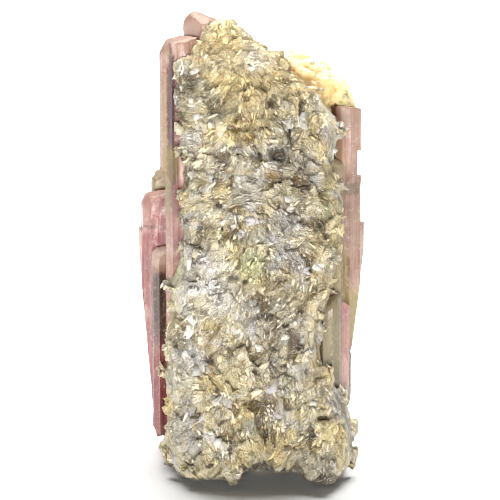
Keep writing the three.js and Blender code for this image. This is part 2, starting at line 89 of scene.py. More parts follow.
class CrystalSettings(bpy.types.PropertyGroup):
    flute_depth: length_setting("Flute depth", "Depth of the grooves along a prism", 0.07)
    flute_pitch: length_setting("Flute pitch", "Width of the grooves along a prism", 0.5)
    chip_depth: length_setting("Chip depth", "Depth of the nicks in a prism", 0.22)
    break_relief: length_setting("Break relief", "Roughness of a broken end", 0.16)
    pink: colour_setting("Pink", "Body of the pale pink prisms", 170, 130, 113)
    deep_pink: colour_setting("Deep pink", "Depths of the pink prisms", 142, 88, 82)
    rose: colour_setting("Rose", "Body of the rose prisms", 177, 116, 109)
    deep_rose: colour_setting("Deep rose", "Depths of the rose prisms", 134, 69, 74)
    plum: colour_setting("Plum", "Body of the dark prism", 112, 84, 80)
    deep_plum: colour_setting("Deep plum", "Depths of the dark prism", 70, 44, 48)
    olive: colour_setting("Olive", "Body of the olive prisms", 172, 154, 100)
    deep_olive: colour_setting("Deep olive", "Depths of the olive prisms", 130, 110, 62)
    grey: colour_setting("Grey", "Body of the glassy prisms", 134, 124, 88)
    deep_grey: colour_setting("Deep grey", "Depths of the glassy prisms", 90, 84, 56)
    pale: colour_setting("Pale", "Cracks and bruised edges", 214, 190, 174)
    tan: colour_setting("Tan", "Earthy bands on the prisms", 160, 138, 104)
    red: colour_setting("Red", "Clear red depths", 156, 62, 64)
    brown: colour_setting("Brown", "Clear brown depths", 78, 58, 44)
    mauve: colour_setting("Mauve", "Dull violet bands", 130, 96, 102)
    purple: colour_setting("Purple", "Dark violet bands", 62, 36, 42)


class CrustSettings(bpy.types.PropertyGroup):
    skin_step: length_setting("Skin step", "Size of the faces of the crust's skin", 0.26)
    skin_relief: length_setting("Skin relief", "Rise of a slope of 1 over a millimetre", 1.0)
    skin_share: number_setting("Skin share", "Share of the skin's faces that thinning leaves", 0.84)
    cream: colour_setting("Cream", "Most of the mica", 240, 227, 188)
    white: colour_setting("White", "Clean mica", 248, 244, 234)
    silver: colour_setting("Silver", "Grey mica", 202, 198, 186)
    lilac: colour_setting("Lilac", "Mica with a lilac tinge", 206, 200, 202)
    ochre: colour_setting("Ochre", "Iron-stained mica", 225, 201, 138)
    amber: colour_setting("Amber", "Strongly stained mica", 205, 161, 92)
    yellow: colour_setting("Yellow", "Mica with a yellow stain", 255, 232, 170)
    green: colour_setting("Green", "Mica with a green tinge", 198, 206, 158)
    brown: colour_setting("Brown", "Olive-brown stain", 152, 128, 70)
    # Crevice colour: dirt, together with painted shade for crevices and low places
    dirt: colour_setting("Dirt", "Crevices", 122, 94, 34)
    # Painted shade for the insides of pits and cracks and for the underside under the arch
    pit: colour_setting("Pit", "Insides of the pits", 80, 66, 40)


class AlbiteSettings(bpy.types.PropertyGroup):
    skin_step: length_setting("Skin step", "Size of the faces of the lump's skin", 0.34)
    grain: length_setting("Grain", "Size of an albite grain", 0.5)
    cream: colour_setting("Cream", "Most of the lump", 242, 222, 164)
    white: colour_setting("White", "Clean grains", 246, 230, 184)
    orange: colour_setting("Orange", "Stained grains", 232, 192, 130)
    # Colour of the painted shade on the lump's right side
    olive: colour_setting("Olive", "Shaded stain", 204, 178, 112)
    # Crevice colour of the lump: dirt, together with painted shade for its low places
    dirt: colour_setting("Dirt", "Crevices of the lump", 226, 190, 126)


class StageSettings(bpy.types.PropertyGroup):
    distance: length_setting("Distance", "From the camera to the specimen", 400)
    aim: bpy.props.FloatVectorProperty(
        name="Aim", description="What the camera looks at",
        default=(-0.25 * MM, 0.99 * MM, 34.8 * MM), subtype="TRANSLATION", unit="LENGTH",
    )
    elevation: bpy.props.FloatProperty(
        name="Elevation", description="Angle of the camera above the floor",
        default=math.radians(12), subtype="ANGLE", unit="ROTATION",
    )
    lens: number_setting("Lens", "Focal length of the camera in mm", 184.1, 10)
    floor: colour_setting("Floor", "The floor", 232, 232, 231)
    sky: number_setting("Sky", "Strength of the light from above", 0.02)
    horizon: number_setting("Horizon", "Strength of the light from the sides", 0.03)
    key: number_setting("Key light", "Power of the main light in watts", 75)
    fill: number_setting("Fill light", "Power of the second light in watts", 13)


# ---------------------------------------------------------------- the specimen's own places

# Crystals and the kind of tourmaline of each. tourmaline_ and the name is the solid's node.
CRYSTALS = {
    "near_left": "pink", "top_left": "pink", "left_dark": "plum", "left_rear": "rose",
    "left_back": "olive", "inner_left": "rose", "inner_front": "pink", "inner_middle": "rose",
    "inner_right": "pink", "core_left": "pink", "core_middle": "rose", "core_right": "rose",
    "back_left": "pink", "back_middle": "rose", "back_inner": "pink", "back_right": "pink",
    "back_sliver": "rose", "corner_right": "olive", "side_right": "rose", "right_rear": "pink",
    "right_olive": "olive", "right_glassy": "grey", "right_pink": "rose", "right_sliver": "grey",
}
SLOTS = {
    "pink": "pink_tourmaline", "rose": "rose_tourmaline", "plum": "dark_tourmaline",
    "olive": "olive_tourmaline", "grey": "grey_tourmaline",
}

# Coloured zones of the prisms: x, height, half width, half height, colour, strength.
ZONES = {
    # On near_left the purple strip is partly painted shade: a face in shade, darker than its
    # neighbours
    "near_left": [
        (-13.8, 52, 0.25, 14, "deep_pink", 0.5), (-13.3, 50, 0.6, 15, "tan", 0.9),
        (-12.85, 54, 0.16, 11, "deep_olive", 0.5), (-12.2, 57, 0.7, 12, "purple", 0.95),
        (-11.3, 55, 0.45, 9, "mauve", 0.6), (-12.1, 49.4, 1.0, 3.2, "deep_olive", 1.0),
        (-12, 48.6, 0.8, 2.4, "deep_plum", 0.5), (-12.9, 44.5, 0.7, 3, "grey", 0.85),
        (-11.6, 44.5, 1.1, 3, "plum", 0.7),
        (-10.9, 44.6, 0.4, 2.4, "red", 0.5), (-11.6, 38.2, 1.5, 4.6, "mauve", 0.5),
        (-12.8, 27.5, 0.8, 2.2, "pale", 0.3),
    ],
    # On top_left the pale zone over the top is partly painted light: the lit rim of its broken top
    "top_left": [(-8.6, 68.5, 3, 3, "pale", 0.5), (-10.5, 63, 0.8, 2, "deep_pink", 0.4)],
    "left_rear": [
        (-16.2, 46.6, 1.4, 1.6, "olive", 0.8), (-15.2, 36.3, 1.9, 1.4, "deep_rose", 0.7),
        (-13.9, 41, 0.7, 5, "deep_rose", 0.6), (-15.6, 38.3, 3, 0.3, "brown", 0.5),
        (-14.6, 27, 1.0, 6.8, "brown", 0.85), (-14.6, 12, 2.4, 9, "red", 0.6),
    ],
    "left_dark": [
        (-14.2, 27, 0.9, 7, "brown", 0.85), (-14.2, 34.2, 2, 2.6, "pink", 1.0),
        (-14.2, 34.6, 2, 1.8, "pale", 0.7),
        (-14.6, 12.5, 2.4, 8.5, "red", 0.6),
    ],
    "right_rear": [
        (15.9, 43.9, 2, 1.1, "brown", 0.95), (13.6, 50, 1.0, 2.6, "tan", 0.6),
        (16, 40, 3, 17, "tan", 0.35), (16, 35, 3, 12, "brown", 0.28),
        (14.4, 30, 1.1, 4.5, "deep_olive", 0.95),
        (15.6, 23.2, 3.2, 4.4, "olive", 1.0), (15.8, 23.2, 2.6, 3.8, "deep_olive", 0.4),
    ],
    "right_pink": [(13.8, 21, 2, 4, "tan", 0.35), (14.5, 15, 1.6, 4, "pale", 0.4)],
    "right_glassy": [(12, 27, 1.4, 3, "deep_olive", 0.6), (12.6, 20, 1.8, 8, "olive", 0.4)],
}

# Stains and tinges of the crust's near side: x, height, half width, half height, colour, strength.
# The yellow and white ones over the top also brighten it as painted light, where the key light from
# behind leaves it in shade; the broad brown rows at the end darken wide areas.
STAINS = [
    (-3, 67, 9, 5, "yellow", 0.95), (3, 63, 9, 4.5, "yellow", 0.85), (-3, 67, 9, 5, "white", 0.25),
    (-5.2, 68.2, 3.2, 2.8, "ochre", 0.5), (-8.8, 66.1, 1.7, 0.9, "amber", 0.5),
    (-4.5, 66.7, 2.7, 0.6, "yellow", 0.5), (0.7, 67, 2.8, 1.9, "white", 0.5),
    (1.7, 57.7, 2, 6.9, "ochre", 0.65), (-0.1, 60.7, 1.9, 2.6, "yellow", 0.8),
    (-0.7, 54.9, 2.3, 4, "ochre", 0.85), (-0.1, 54.1, 1.7, 1.1, "amber", 0.7),
    (-0.1, 57.3, 1.1, 0.9, "amber", 0.5), (-3.4, 55.6, 2.3, 2.6, "yellow", 0.75),
    (-3, 58.4, 1.5, 1.5, "cream", 0.6), (3.1, 60.2, 1.5, 2.2, "yellow", 0.5),
    (3.2, 48.6, 1.1, 0.9, "amber", 0.8), (5.7, 34.4, 1.4, 2.2, "ochre", 0.7),
    (5.5, 34.8, 0.6, 0.8, "amber", 0.5), (9.2, 33.6, 3.6, 3.9, "ochre", 0.35),
    (11.6, 28.6, 1.5, 3.4, "yellow", 0.6), (11.1, 33, 1.1, 1.7, "ochre", 0.6),
    (10.7, 17.1, 4, 4.2, "ochre", 0.55), (9.7, 16.7, 2.3, 2.3, "yellow", 0.4),
    (-5.9, 24.6, 2.6, 2.5, "ochre", 0.6), (-6.3, 19.7, 1.1, 2.2, "amber", 0.75),
    (-7.3, 16.4, 2.1, 1.4, "brown", 0.6), (-0.1, 13.5, 2.3, 1.2, "brown", 0.75),
    (-1.9, 5.4, 0.5, 0.8, "amber", 0.6), (-1.9, 5.2, 0.4, 0.9, "yellow", 0.6),
    (-2.1, 6.5, 1.8, 1.7, "ochre", 0.25), (1.7, 9.3, 1.1, 2.7, "brown", 0.7),
    (6, 7, 2.3, 1.3, "ochre", 0.3), (6.6, 6.7, 1.7, 0.5, "brown", 0.5),
    (11.8, 11, 1.7, 0.9, "brown", 0.7), (12, 8.7, 1.5, 1.4, "cream", 0.5),
    (12, 4.9, 4, 3.3, "silver", 0.35),
    (0.1, 35.1, 3, 2.6, "green", 0.7), (2.5, 35.6, 1.8, 0.9, "brown", 0.35),
    (11.1, 43.9, 1.4, 3.2, "green", 0.6), (10, 40.4, 0.9, 0.9, "green", 0.6),
    (-11.6, 33.3, 1.6, 2.3, "green", 0.65), (-13, 17.8, 0.8, 1.6, "green", 0.5),
    (5.5, 16.9, 0.9, 1.9, "green", 0.6), (0.7, 54.3, 0.9, 1.2, "green", 0.3),
    (-8.4, 9.6, 1.1, 0.8, "yellow", 0.7), (-3.7, 38.7, 1.4, 2.6, "ochre", 0.5),
    (-6.2, 37.4, 1.7, 1.9, "brown", 0.5), (-7.9, 57.5, 3.8, 6.8, "silver", 0.3),
    (-8.5, 62.3, 1.7, 1.2, "silver", 0.7), (-1.2, 46.6, 2.7, 2, "lilac", 0.6),
    (4, 41.9, 4.2, 3.7, "silver", 0.65), (1.4, 39.5, 3.2, 1.2, "silver", 0.5),
    (7.6, 35.1, 2.1, 1.7, "lilac", 0.7), (-9.5, 31.9, 2.3, 1.9, "silver", 0.75),
    (-10, 18, 3.4, 7, "white", 0.8), (-10.1, 21.5, 1.7, 1.2, "silver", 0.6),
    (4.5, 27.2, 6.2, 5.1, "silver", 0.6), (4.2, 16.3, 2, 1.6, "lilac", 0.6),
    (0.7, 42.1, 1.8, 0.8, "lilac", 0.7), (11.5, 54.1, 1.2, 1.7, "lilac", 0.4),
    (13.7, 45.4, 1.2, 1.7, "silver", 0.7), (-4.5, 32.7, 2.1, 2.9, "cream", 0.7),
    (-4.4, 28.9, 4.1, 1.6, "cream", 0.6), (-6.6, 51.1, 4.2, 2.9, "cream", 0.65),
    (-5.7, 55, 2.7, 2, "yellow", 0.35), (0.4, 57.3, 1.2, 1.9, "ochre", 0.5),
    (9.6, 60.1, 2.3, 2, "white", 0.5), (-3.3, 2.8, 3.1, 1.4, "white", 0.55),
    (-10.5, 5.9, 2.6, 2.3, "silver", 0.4), (-5.9, 5.6, 2, 2.7, "cream", 0.4),
    (0.8, 5.4, 2, 1.3, "silver", 0.4), (4.3, 54.7, 1.8, 2.3, "silver", 0.6),
    (8.5, 48.7, 3.3, 3.9, "silver", 0.4), (10.3, 42.2, 3, 5, "cream", 0.3),
    (-1.9, 20, 3.5, 5, "cream", 0.45), (12.2, 34.7, 1.5, 2.8, "silver", 0.5),
    (-5.7, 29.8, 4.5, 3.6, "white", 0.6), (-6, 36.2, 3.8, 3, "white", 0.4),
    (-9.5, 30, 4, 6, "white", 0.5), (-3, 67, 8, 4, "yellow", 0.55), (3, 62.5, 7, 3, "yellow", 0.5),
    (1, 65.5, 3, 2, "white", 0.5),
    (5, 52.5, 7, 5.5, "brown", 0.25), (6, 43.5, 7, 3.5, "brown", 0.22),
    (-1, 56.5, 3, 4, "ochre", 0.6), (-8, 22, 6, 6, "brown", 0.2), (2, 19, 5, 4, "brown", 0.15),
    (5, 6, 9, 4, "brown", 0.22),
]
# Cleaner parts of the crust's near side, which are also brightened; over the top the brightening is
# painted light, where the key light from behind leaves the near face in shade: x, height, half
# width, half height, strength.
CLEAN_AND_LIT = [(-1, 67, 10, 6, 0.9), (-6, 31.5, 5, 6, 1.0), (-8, 56, 4, 6, 0.5)]
# Pits and cracks: x, height, half width, half height, depth of shade.
HOLLOWS = [
    (4.4, 51.4, 1.5, 1.7, 0.8), (1, 51.4, 0.8, 0.7, 0.8), (5.7, 54.8, 0.4, 1.8, 0.9),
    (3.3, 59.9, 0.5, 1.2, 0.75), (7.6, 57.9, 0.5, 1.3, 0.6), (7.9, 59.7, 0.5, 0.7, 0.7),
    (-4.9, 44.1, 0.5, 0.5, 0.9), (-4.6, 41.1, 0.3, 1, 0.95), (-2.5, 40.8, 1.1, 0.5, 0.7),
    (-3.4, 47.1, 0.6, 0.5, 0.55), (10.4, 40.6, 0.7, 0.8, 0.95), (7.6, 41.6, 0.8, 0.4, 0.8),
    (12.2, 41.9, 0.7, 0.5, 0.7), (-1.1, 37.5, 0.4, 0.5, 0.7), (-2.8, 33.2, 1.1, 0.5, 0.75),
    (-0.9, 32.6, 0.5, 0.4, 0.95), (2.9, 27.3, 0.8, 0.5, 0.85), (5.2, 25.9, 0.6, 0.5, 1),
    (7.6, 22.7, 0.7, 0.4, 0.8), (0.4, 20.8, 0.8, 0.5, 0.75), (0.4, 18.8, 0.8, 0.5, 1),
    (-6.2, 20.3, 0.6, 0.6, 0.7), (-8.7, 21.1, 0.7, 0.5, 0.7), (-11.7, 22.2, 0.5, 0.7, 0.5),
    (0.4, 13.6, 1.2, 0.7, 0.65), (-8.6, 12.8, 0.4, 1.2, 0.8), (3.4, 22, 0.9, 0.4, 0.7),
    (4.8, 19.5, 0.8, 0.3, 0.6), (8.4, 18.5, 0.5, 0.9, 0.6), (9.2, 9.4, 0.8, 1.2, 0.75),
    (11.4, 11, 1.2, 0.3, 0.75), (2, 8.6, 0.5, 1.3, 0.8), (1.2, 10.6, 0.4, 1.1, 0.6),
    (4.3, 11.3, 0.6, 0.6, 0.55), (6.3, 6.7, 1.4, 0.2, 0.75), (-3.3, 6.3, 0.3, 1.3, 0.85),
    (-8.4, 8.1, 0.8, 0.4, 0.75), (-8.1, 3.9, 0.5, 1, 0.55), (-3, 8.7, 0.6, 0.3, 0.6),
    (-2.5, 69, 0.6, 0.6, 0.75), (-9.1, 62.2, 1.1, 0.5, 0.5), (-5.8, 59.6, 0.8, 0.5, 0.35),
    (-11, 50.6, 0.8, 0.4, 0.7), (-1.9, 51.8, 0.5, 0.2, 0.85), (-6, 51.7, 0.3, 0.2, 0.7),
    (-5.4, 48.1, 0.6, 0.2, 0.65), (-10.4, 54.9, 0.2, 0.3, 0.6), (-8.9, 52.9, 0.2, 0.3, 0.6),
    (5.7, 47.8, 0.2, 0.5, 0.8), (-9.3, 66.7, 0.6, 0.3, 0.6), (13.7, 34.4, 0.3, 0.9, 0.6),
    (-11.8, 11.3, 0.5, 0.4, 0.7), (2, 57.7, 0.5, 0.5, 0.4), (-4.8, 57.7, 0.3, 0.8, 0.5),
    (15.7, 9.2, 0.4, 0.5, 0.5), (5.8, 64.1, 0.6, 0.6, 0.4), (7.4, 61, 0.4, 0.4, 0.5),
    (2.3, 35.9, 1.7, 0.3, 0.5), (-6.5, 37.8, 0.5, 0.8, 0.45), (-8.6, 32.2, 0.8, 0.6, 0.3),
    (10.8, 23.9, 0.2, 0.4, 0.4),
]
# Large clean plates: x, height, width, tallness, colour.
PLATES = [
    (0.4, 65.1, 2.4, 1.2, "white"), (-8.2, 57.5, 1.8, 1.4, "white"), (-8.9, 64.1, 2, 1.2, "white"),
    (-6, 56.5, 1.2, 1.2, "white"), (9.9, 55.3, 2, 2.2, "lilac"), (12.5, 51.9, 1.2, 1.2, "white"),
    (5.7, 45.5, 2, 1.4, "white"), (6.6, 40.5, 2.2, 2, "lilac"), (-1.3, 39.8, 2.2, 1.6, "lilac"),
    (-5.9, 34.7, 1.6, 1.8, "white"), (-7.2, 31, 1.2, 1.6, "white"), (-5, 31.2, 2.4, 1.4, "white"),
    (10.2, 35, 1.8, 1.8, "white"), (8.4, 33.2, 1.6, 1, "white"), (1, 22.4, 1.4, 1.2, "white"),
    (-4.1, 13.9, 3.4, 3, "white"), (-9.3, 12.7, 1, 3.4, "lilac"), (-7.4, 12.3, 1, 3, "lilac"),
    (0.4, 42.2, 3, 1.4, "lilac"), (3, 16.4, 2.8, 2.2, "lilac"), (3.9, 11.9, 2.8, 1.4, "lilac"),
    (-7.9, 7.4, 1.2, 1.6, "white"), (-5.2, 8.1, 1.4, 1.8, "white"), (-3.4, 54, 2.2, 2.4, "yellow"),
    (-4.5, 55.9, 2.4, 2.8, "cream"), (6.1, 60.8, 2.4, 2.4, "cream"),
    (7.6, 56.8, 1.8, 2.8, "silver"), (5.4, 56.6, 1.4, 2.2, "silver"),
    (12.9, 45.2, 2.4, 2.6, "silver"), (-6, 38.8, 1.8, 2.8, "cream"),
    (-10.1, 63.8, 1.6, 1.2, "white"), (2.5, 50.1, 1.8, 1.2, "white"),
    (-9, 48.9, 1.4, 1.2, "silver"), (-9.2, 25.5, 1.6, 3.2, "white"),
    (-7.7, 18.9, 3.4, 2.8, "silver"), (-5.1, 40, 1.2, 2.2, "cream"),
    (9.7, 13.2, 2.2, 1.2, "white"), (5.1, 9.5, 1, 1.2, "white"), (5.5, 43.4, 2.4, 1.2, "white"),
    (7.5, 20.9, 1.6, 2.4, "cream"), (6.2, 15.4, 1.2, 1.8, "cream"),
    (-1.5, 48.3, 1.8, 1.8, "silver"), (7.9, 34, 2.4, 1.2, "lilac"),
]
# Streams along which the mica lies in line: from x, height to x, height, and half width.
STREAMS = [
    (-10.7, 48.3, -2.4, 56.7, 1.4), (-7.8, 46.5, -1.8, 50.2, 1), (-7, 64.3, -0.9, 69.3, 1.3),
    (-1.8, 69.6, 7.3, 62, 1.2), (7.3, 62, 14.1, 55.8, 0.9), (-0.2, 64.6, 3.1, 59.9, 0.9),
    (-0.9, 62.9, 1.6, 51, 1.2), (1.6, 64.3, 3.5, 58.1, 0.8), (4, 52.5, 11.8, 58.4, 1),
    (-12.4, 31.3, -7.1, 38.1, 1.1), (-7.1, 35.9, -4, 40.7, 0.8), (-11.8, 25.2, -8.5, 29.8, 0.9),
    (-13.4, 20.6, -9.4, 26.7, 1), (-8.5, 25.2, -5.6, 15.2, 1), (-4.5, 20.6, -1.2, 26, 1),
    (-2.4, 22.1, 1.6, 31.3, 1), (1.6, 20.6, 7.4, 26.7, 1.1), (7.4, 14.4, 10.7, 23.7, 1.1),
    (10.1, 29.8, 13.7, 36.5, 0.8), (1.3, 38.1, 11.9, 39.7, 1), (6.7, 45, 11.8, 48, 1),
    (-11.5, 15.7, -10, 23.7, 1), (-11.6, 9.8, -7.9, 13.7, 0.9), (-7.9, 8.2, -7, 3.5, 1),
    (-3, 8.8, -2.4, 4.8, 0.8), (0.7, 12, 2.5, 6.7, 0.9), (3.7, 5.7, 8.3, 7.3, 1),
    (8.3, 8.2, 10.1, 11.3, 0.9), (13.5, 14.4, 15.4, 8.2, 1), (8.9, 29.8, 10.7, 22.9, 0.9),
    (-11, 3.5, -1.8, 2.3, 0.9), (-4, 45, 7.3, 46.5, 1), (11.9, 43.4, 14.9, 37.4, 0.8),
    (-4.5, 14.7, 1.6, 14.4, 1),
]
LEFT_EDGE = -11.6  # the upper crust's left edge, beside the nearest prism
FRONT_REACH = 7  # how far behind the near face the stains still show
# The near face leans back: heights, and how far forward it stands at each.
NEAR_FACE = (
    [1.6, 13.6, 31.6, 51.6, 61.6, 67.6, 71.6], [-14.1, -13.3, -11.7, -9.7, -8.1, -6.6, -5.1],
)
# Bands of height that the mica's pieces are split into: lowest and highest.
BANDS = {"foot": (0, 17), "lower": (17, 34), "middle": (34, 51), "upper": (51, 80)}


# ---------------------------------------------------------------- patterns over points


def noise(points, pitch, seed):
    """Smooth random waves between -1 and 1, a pitch apart, at each point. Each pattern on the
    specimen has its own seed."""
    spot = points / pitch
    cell = np.floor(spot).astype(np.int64)
    share = spot - cell
    share = share * share * (3 - 2 * share)
    total = np.zeros(len(points))
    for corner in np.ndindex(2, 2, 2):
        key = cell + corner
        mixed = key[:, 0] * 73856093 ^ key[:, 1] * 19349663 ^ key[:, 2] * 83492791
        mixed = mixed ^ seed * 2654435761
        mixed = (mixed & 0xFFFFFFFF) * 2246822519 & 0xFFFFFFFF
        mixed = (mixed ^ (mixed >> 15)) * 3266489917 & 0xFFFFFFFF
        value = (mixed ^ (mixed >> 16)) / 2147483648.0 - 1
        total += value * np.prod(np.where(corner, share, 1 - share), axis=1)
    return total


def waves(points, pitch, seed, octaves=3):
    """Noise with finer noise on it."""
    total = np.zeros(len(points))
    for octave in range(octaves):
        total += noise(points, pitch / 2**octave, seed + octave) / 1.7**octave
    return total / 1.6


def fade(value, low, high):
    """0 where the value is at low, 1 where it is at high, and smooth between."""
    share = np.clip((value - low) / (high - low), 0, 1)
    return share * share * (3 - 2 * share)


def from_spot(places, x, height, half_width, half_height):
    """Distance from a spot, in x and height alone, as a share of the spot's half sizes."""
    return np.hypot((places[:, 0] - x) / half_width, (places[:, 2] - height) / half_height)


def tints(settings, *names):
    return {name: np.array(getattr(settings, name)) for name in names}


def blend(first, second, share):
    """The first colours with a share of the second ones mixed in."""
    return first + (second - first) * np.asarray(share)[..., None]


def not_too_bright(colours):
    """Colours dimmed where a channel would pass the brightest one, with their hue kept."""
    most = np.maximum(colours.max(axis=-1, keepdims=True), 1e-6)
    return colours * np.minimum(1, BRIGHTEST / most)


def unit(vectors):
    return vectors / np.maximum(np.linalg.norm(vectors, axis=-1, keepdims=True), 1e-12)


def side_vector(normals, turn):
    """A direction in the surface, turned from the level one by turn radians."""
    level = unit(np.cross([0.0, 0.0, 1.0], normals) + [1e-6, 0, 0])
    upward = np.cross(normals, level)
    return level * np.cos(turn)[:, None] + upward * np.sin(turn)[:, None]


# ---------------------------------------------------------------- mesh helpers


def select_only(piece):
    bpy.ops.object.select_all(action="DESELECT")
    piece.select_set(True)
    bpy.context.view_layer.objects.active = piece


def copy_of(node, name):
    """A new piece with the merged mesh of a solid."""
    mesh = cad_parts[node].data.copy()
    mesh.name = name
    mesh.materials.clear()
    piece = bpy.data.objects.new(name, mesh)
    bpy.context.scene.collection.objects.link(piece)
    select_only(piece)
    bpy.ops.mesh.customdata_custom_splitnormals_clear()
    bpy.ops.object.mode_set(mode="EDIT")
    bpy.ops.mesh.select_all(action="SELECT")
    bpy.ops.mesh.remove_doubles(threshold=1e-6)
    bpy.ops.object.mode_set(mode="OBJECT")
    return piece


def even_faces(piece, step):
    """Replaces a piece's faces with even ones of about the step's size."""
    remesh = piece.modifiers.new("Even faces", "REMESH")
    remesh.mode = "VOXEL"
    remesh.voxel_size = step
    bpy.ops.object.modifier_apply(modifier=remesh.name)


def smooth_up_to(degrees):
    """Smooths the selected piece's shading across edges that bend less than so many degrees."""
    bpy.ops.object.shade_smooth_by_angle(angle=math.radians(degrees))


def vertex_places(mesh):
    """Each vertex's place in millimetres."""
    flat = np.empty(len(mesh.vertices) * 3, np.float32)
    mesh.vertices.foreach_get("co", flat)
    return flat.reshape(-1, 3).astype(float) / MM


def vertex_normals(mesh):
    flat = np.empty(len(mesh.vertices) * 3, np.float32)
    mesh.vertices.foreach_get("normal", flat)
    return flat.reshape(-1, 3).astype(float)


def move_vertices(mesh, places):
    mesh.vertices.foreach_set("co", (places * MM).astype(np.float32).ravel())
    mesh.update()


def keep_above_floor(places):
    lifted = places.copy()
    lifted[:, 2] = np.maximum(lifted[:, 2], 0.0)
    return lifted


def paint(mesh, colours):
    """Stores a colour for each vertex, which the materials of mica and albite start from."""
    attribute = mesh.color_attributes.new("Tint", "FLOAT_COLOR", "POINT")
    values = np.ones((len(mesh.vertices), 4), np.float32)
    values[:, :3] = colours
    attribute.data.foreach_set("color", values.ravel())


def mark(mesh, values, name):
    attribute = mesh.attributes.new(name, "FLOAT", "POINT")
    attribute.data.foreach_set("value", np.asarray(values, np.float32))


def mark_vectors(mesh, values, name):
    attribute = mesh.attributes.new(name, "FLOAT_VECTOR", "POINT")
    attribute.data.foreach_set("vector", np.asarray(values, np.float32).ravel())


def mesh_edges(mesh):
    edges = np.empty(2 * len(mesh.edges), np.int32)
    mesh.edges.foreach_get("vertices", edges)
    return edges.reshape(-1, 2)


def neighbour_sums(edges, values):
    total = np.zeros_like(values)
    np.add.at(total, edges[:, 0], values[edges[:, 1]])
    np.add.at(total, edges[:, 1], values[edges[:, 0]])
    return total


def smoothed(mesh, places, amount, repeats):
    """Places drawn to the middle of their neighbours, each by its own amount of 0 to 1."""
    edges = mesh_edges(mesh)
    count = np.bincount(edges.ravel(), minlength=len(places))[:, None]
    for _ in range(repeats):
        middle = neighbour_sums(edges, places) / count
        places = places + np.broadcast_to(amount, len(places))[:, None] * (middle - places)
    return places


def soft_normals(mesh, repeats=6):
    """Outward directions, averaged over each vertex's surroundings."""
    edges = mesh_edges(mesh)
    normals = vertex_normals(mesh)
    for _ in range(repeats):
        normals = unit(normals + neighbour_sums(edges, normals))
    return normals


def sheets_piece(name, points, colours):
    """A piece of closed sheets from their points and colours: one row of each to a sheet, the
    top rim's before the bottom rim's."""
    corners, sizes = sheet_corners(len(points), points.shape[1] // 2)
    mesh = bpy.data.meshes.new(name)
    mesh.vertices.add(points.size // 3)
    mesh.vertices.foreach_set("co", (points * MM).astype(np.float32).ravel())
    mesh.loops.add(len(corners))
    mesh.loops.foreach_set("vertex_index", corners.astype(np.int32))
    mesh.polygons.add(len(sizes))
    starts = np.concatenate([[0], np.cumsum(sizes)[:-1]])
    mesh.polygons.foreach_set("loop_start", starts.astype(np.int32))
    mesh.update(calc_edges=True)
    paint(mesh, colours.reshape(-1, 3))
    piece = bpy.data.objects.new(name, mesh)
    bpy.context.scene.collection.objects.link(piece)
    return piece


def sheet_corners(count, sides):
    """Face corners and face sizes of many closed sheets: top rim, then bottom rim."""
    first = (np.arange(count) * 2 * sides)[:, None]
    here = np.arange(sides)
    after = (here + 1) % sides
    walls = np.stack([here, sides + here, sides + after, after], axis=1).ravel()
    one = np.concatenate([here, sides + here[::-1], walls])
    sizes = np.tile([sides, sides] + [4] * sides, count)
    return (first + one).ravel(), sizes


def sheet_points(place, along, across, outline, length, width, thickness):
    """Points of closed sheets. outline holds each sheet's corners as shares of length and width."""
    face = np.cross(along, across)
    reach = along[:, None] * (outline[..., 0] * length[:, None])[..., None]
    spread = across[:, None] * (outline[..., 1] * width[:, None])[..., None]
    rim = place[:, None] + reach + spread
    half = (face * thickness[:, None] / 2)[:, None]
    return np.concatenate([rim + half, rim - half], axis=1)


def finish_piece(piece, material, slot, *replaced):
    """Gives a piece its only material and its body, and hides the nodes that it stands for. The
    slot is not used.
    """
    piece.data.materials.clear()
    piece.data.materials.append(material)
    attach(piece, "root")
    if replaced:
        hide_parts(*replaced)


# ---------------------------------------------------------------- shader helpers


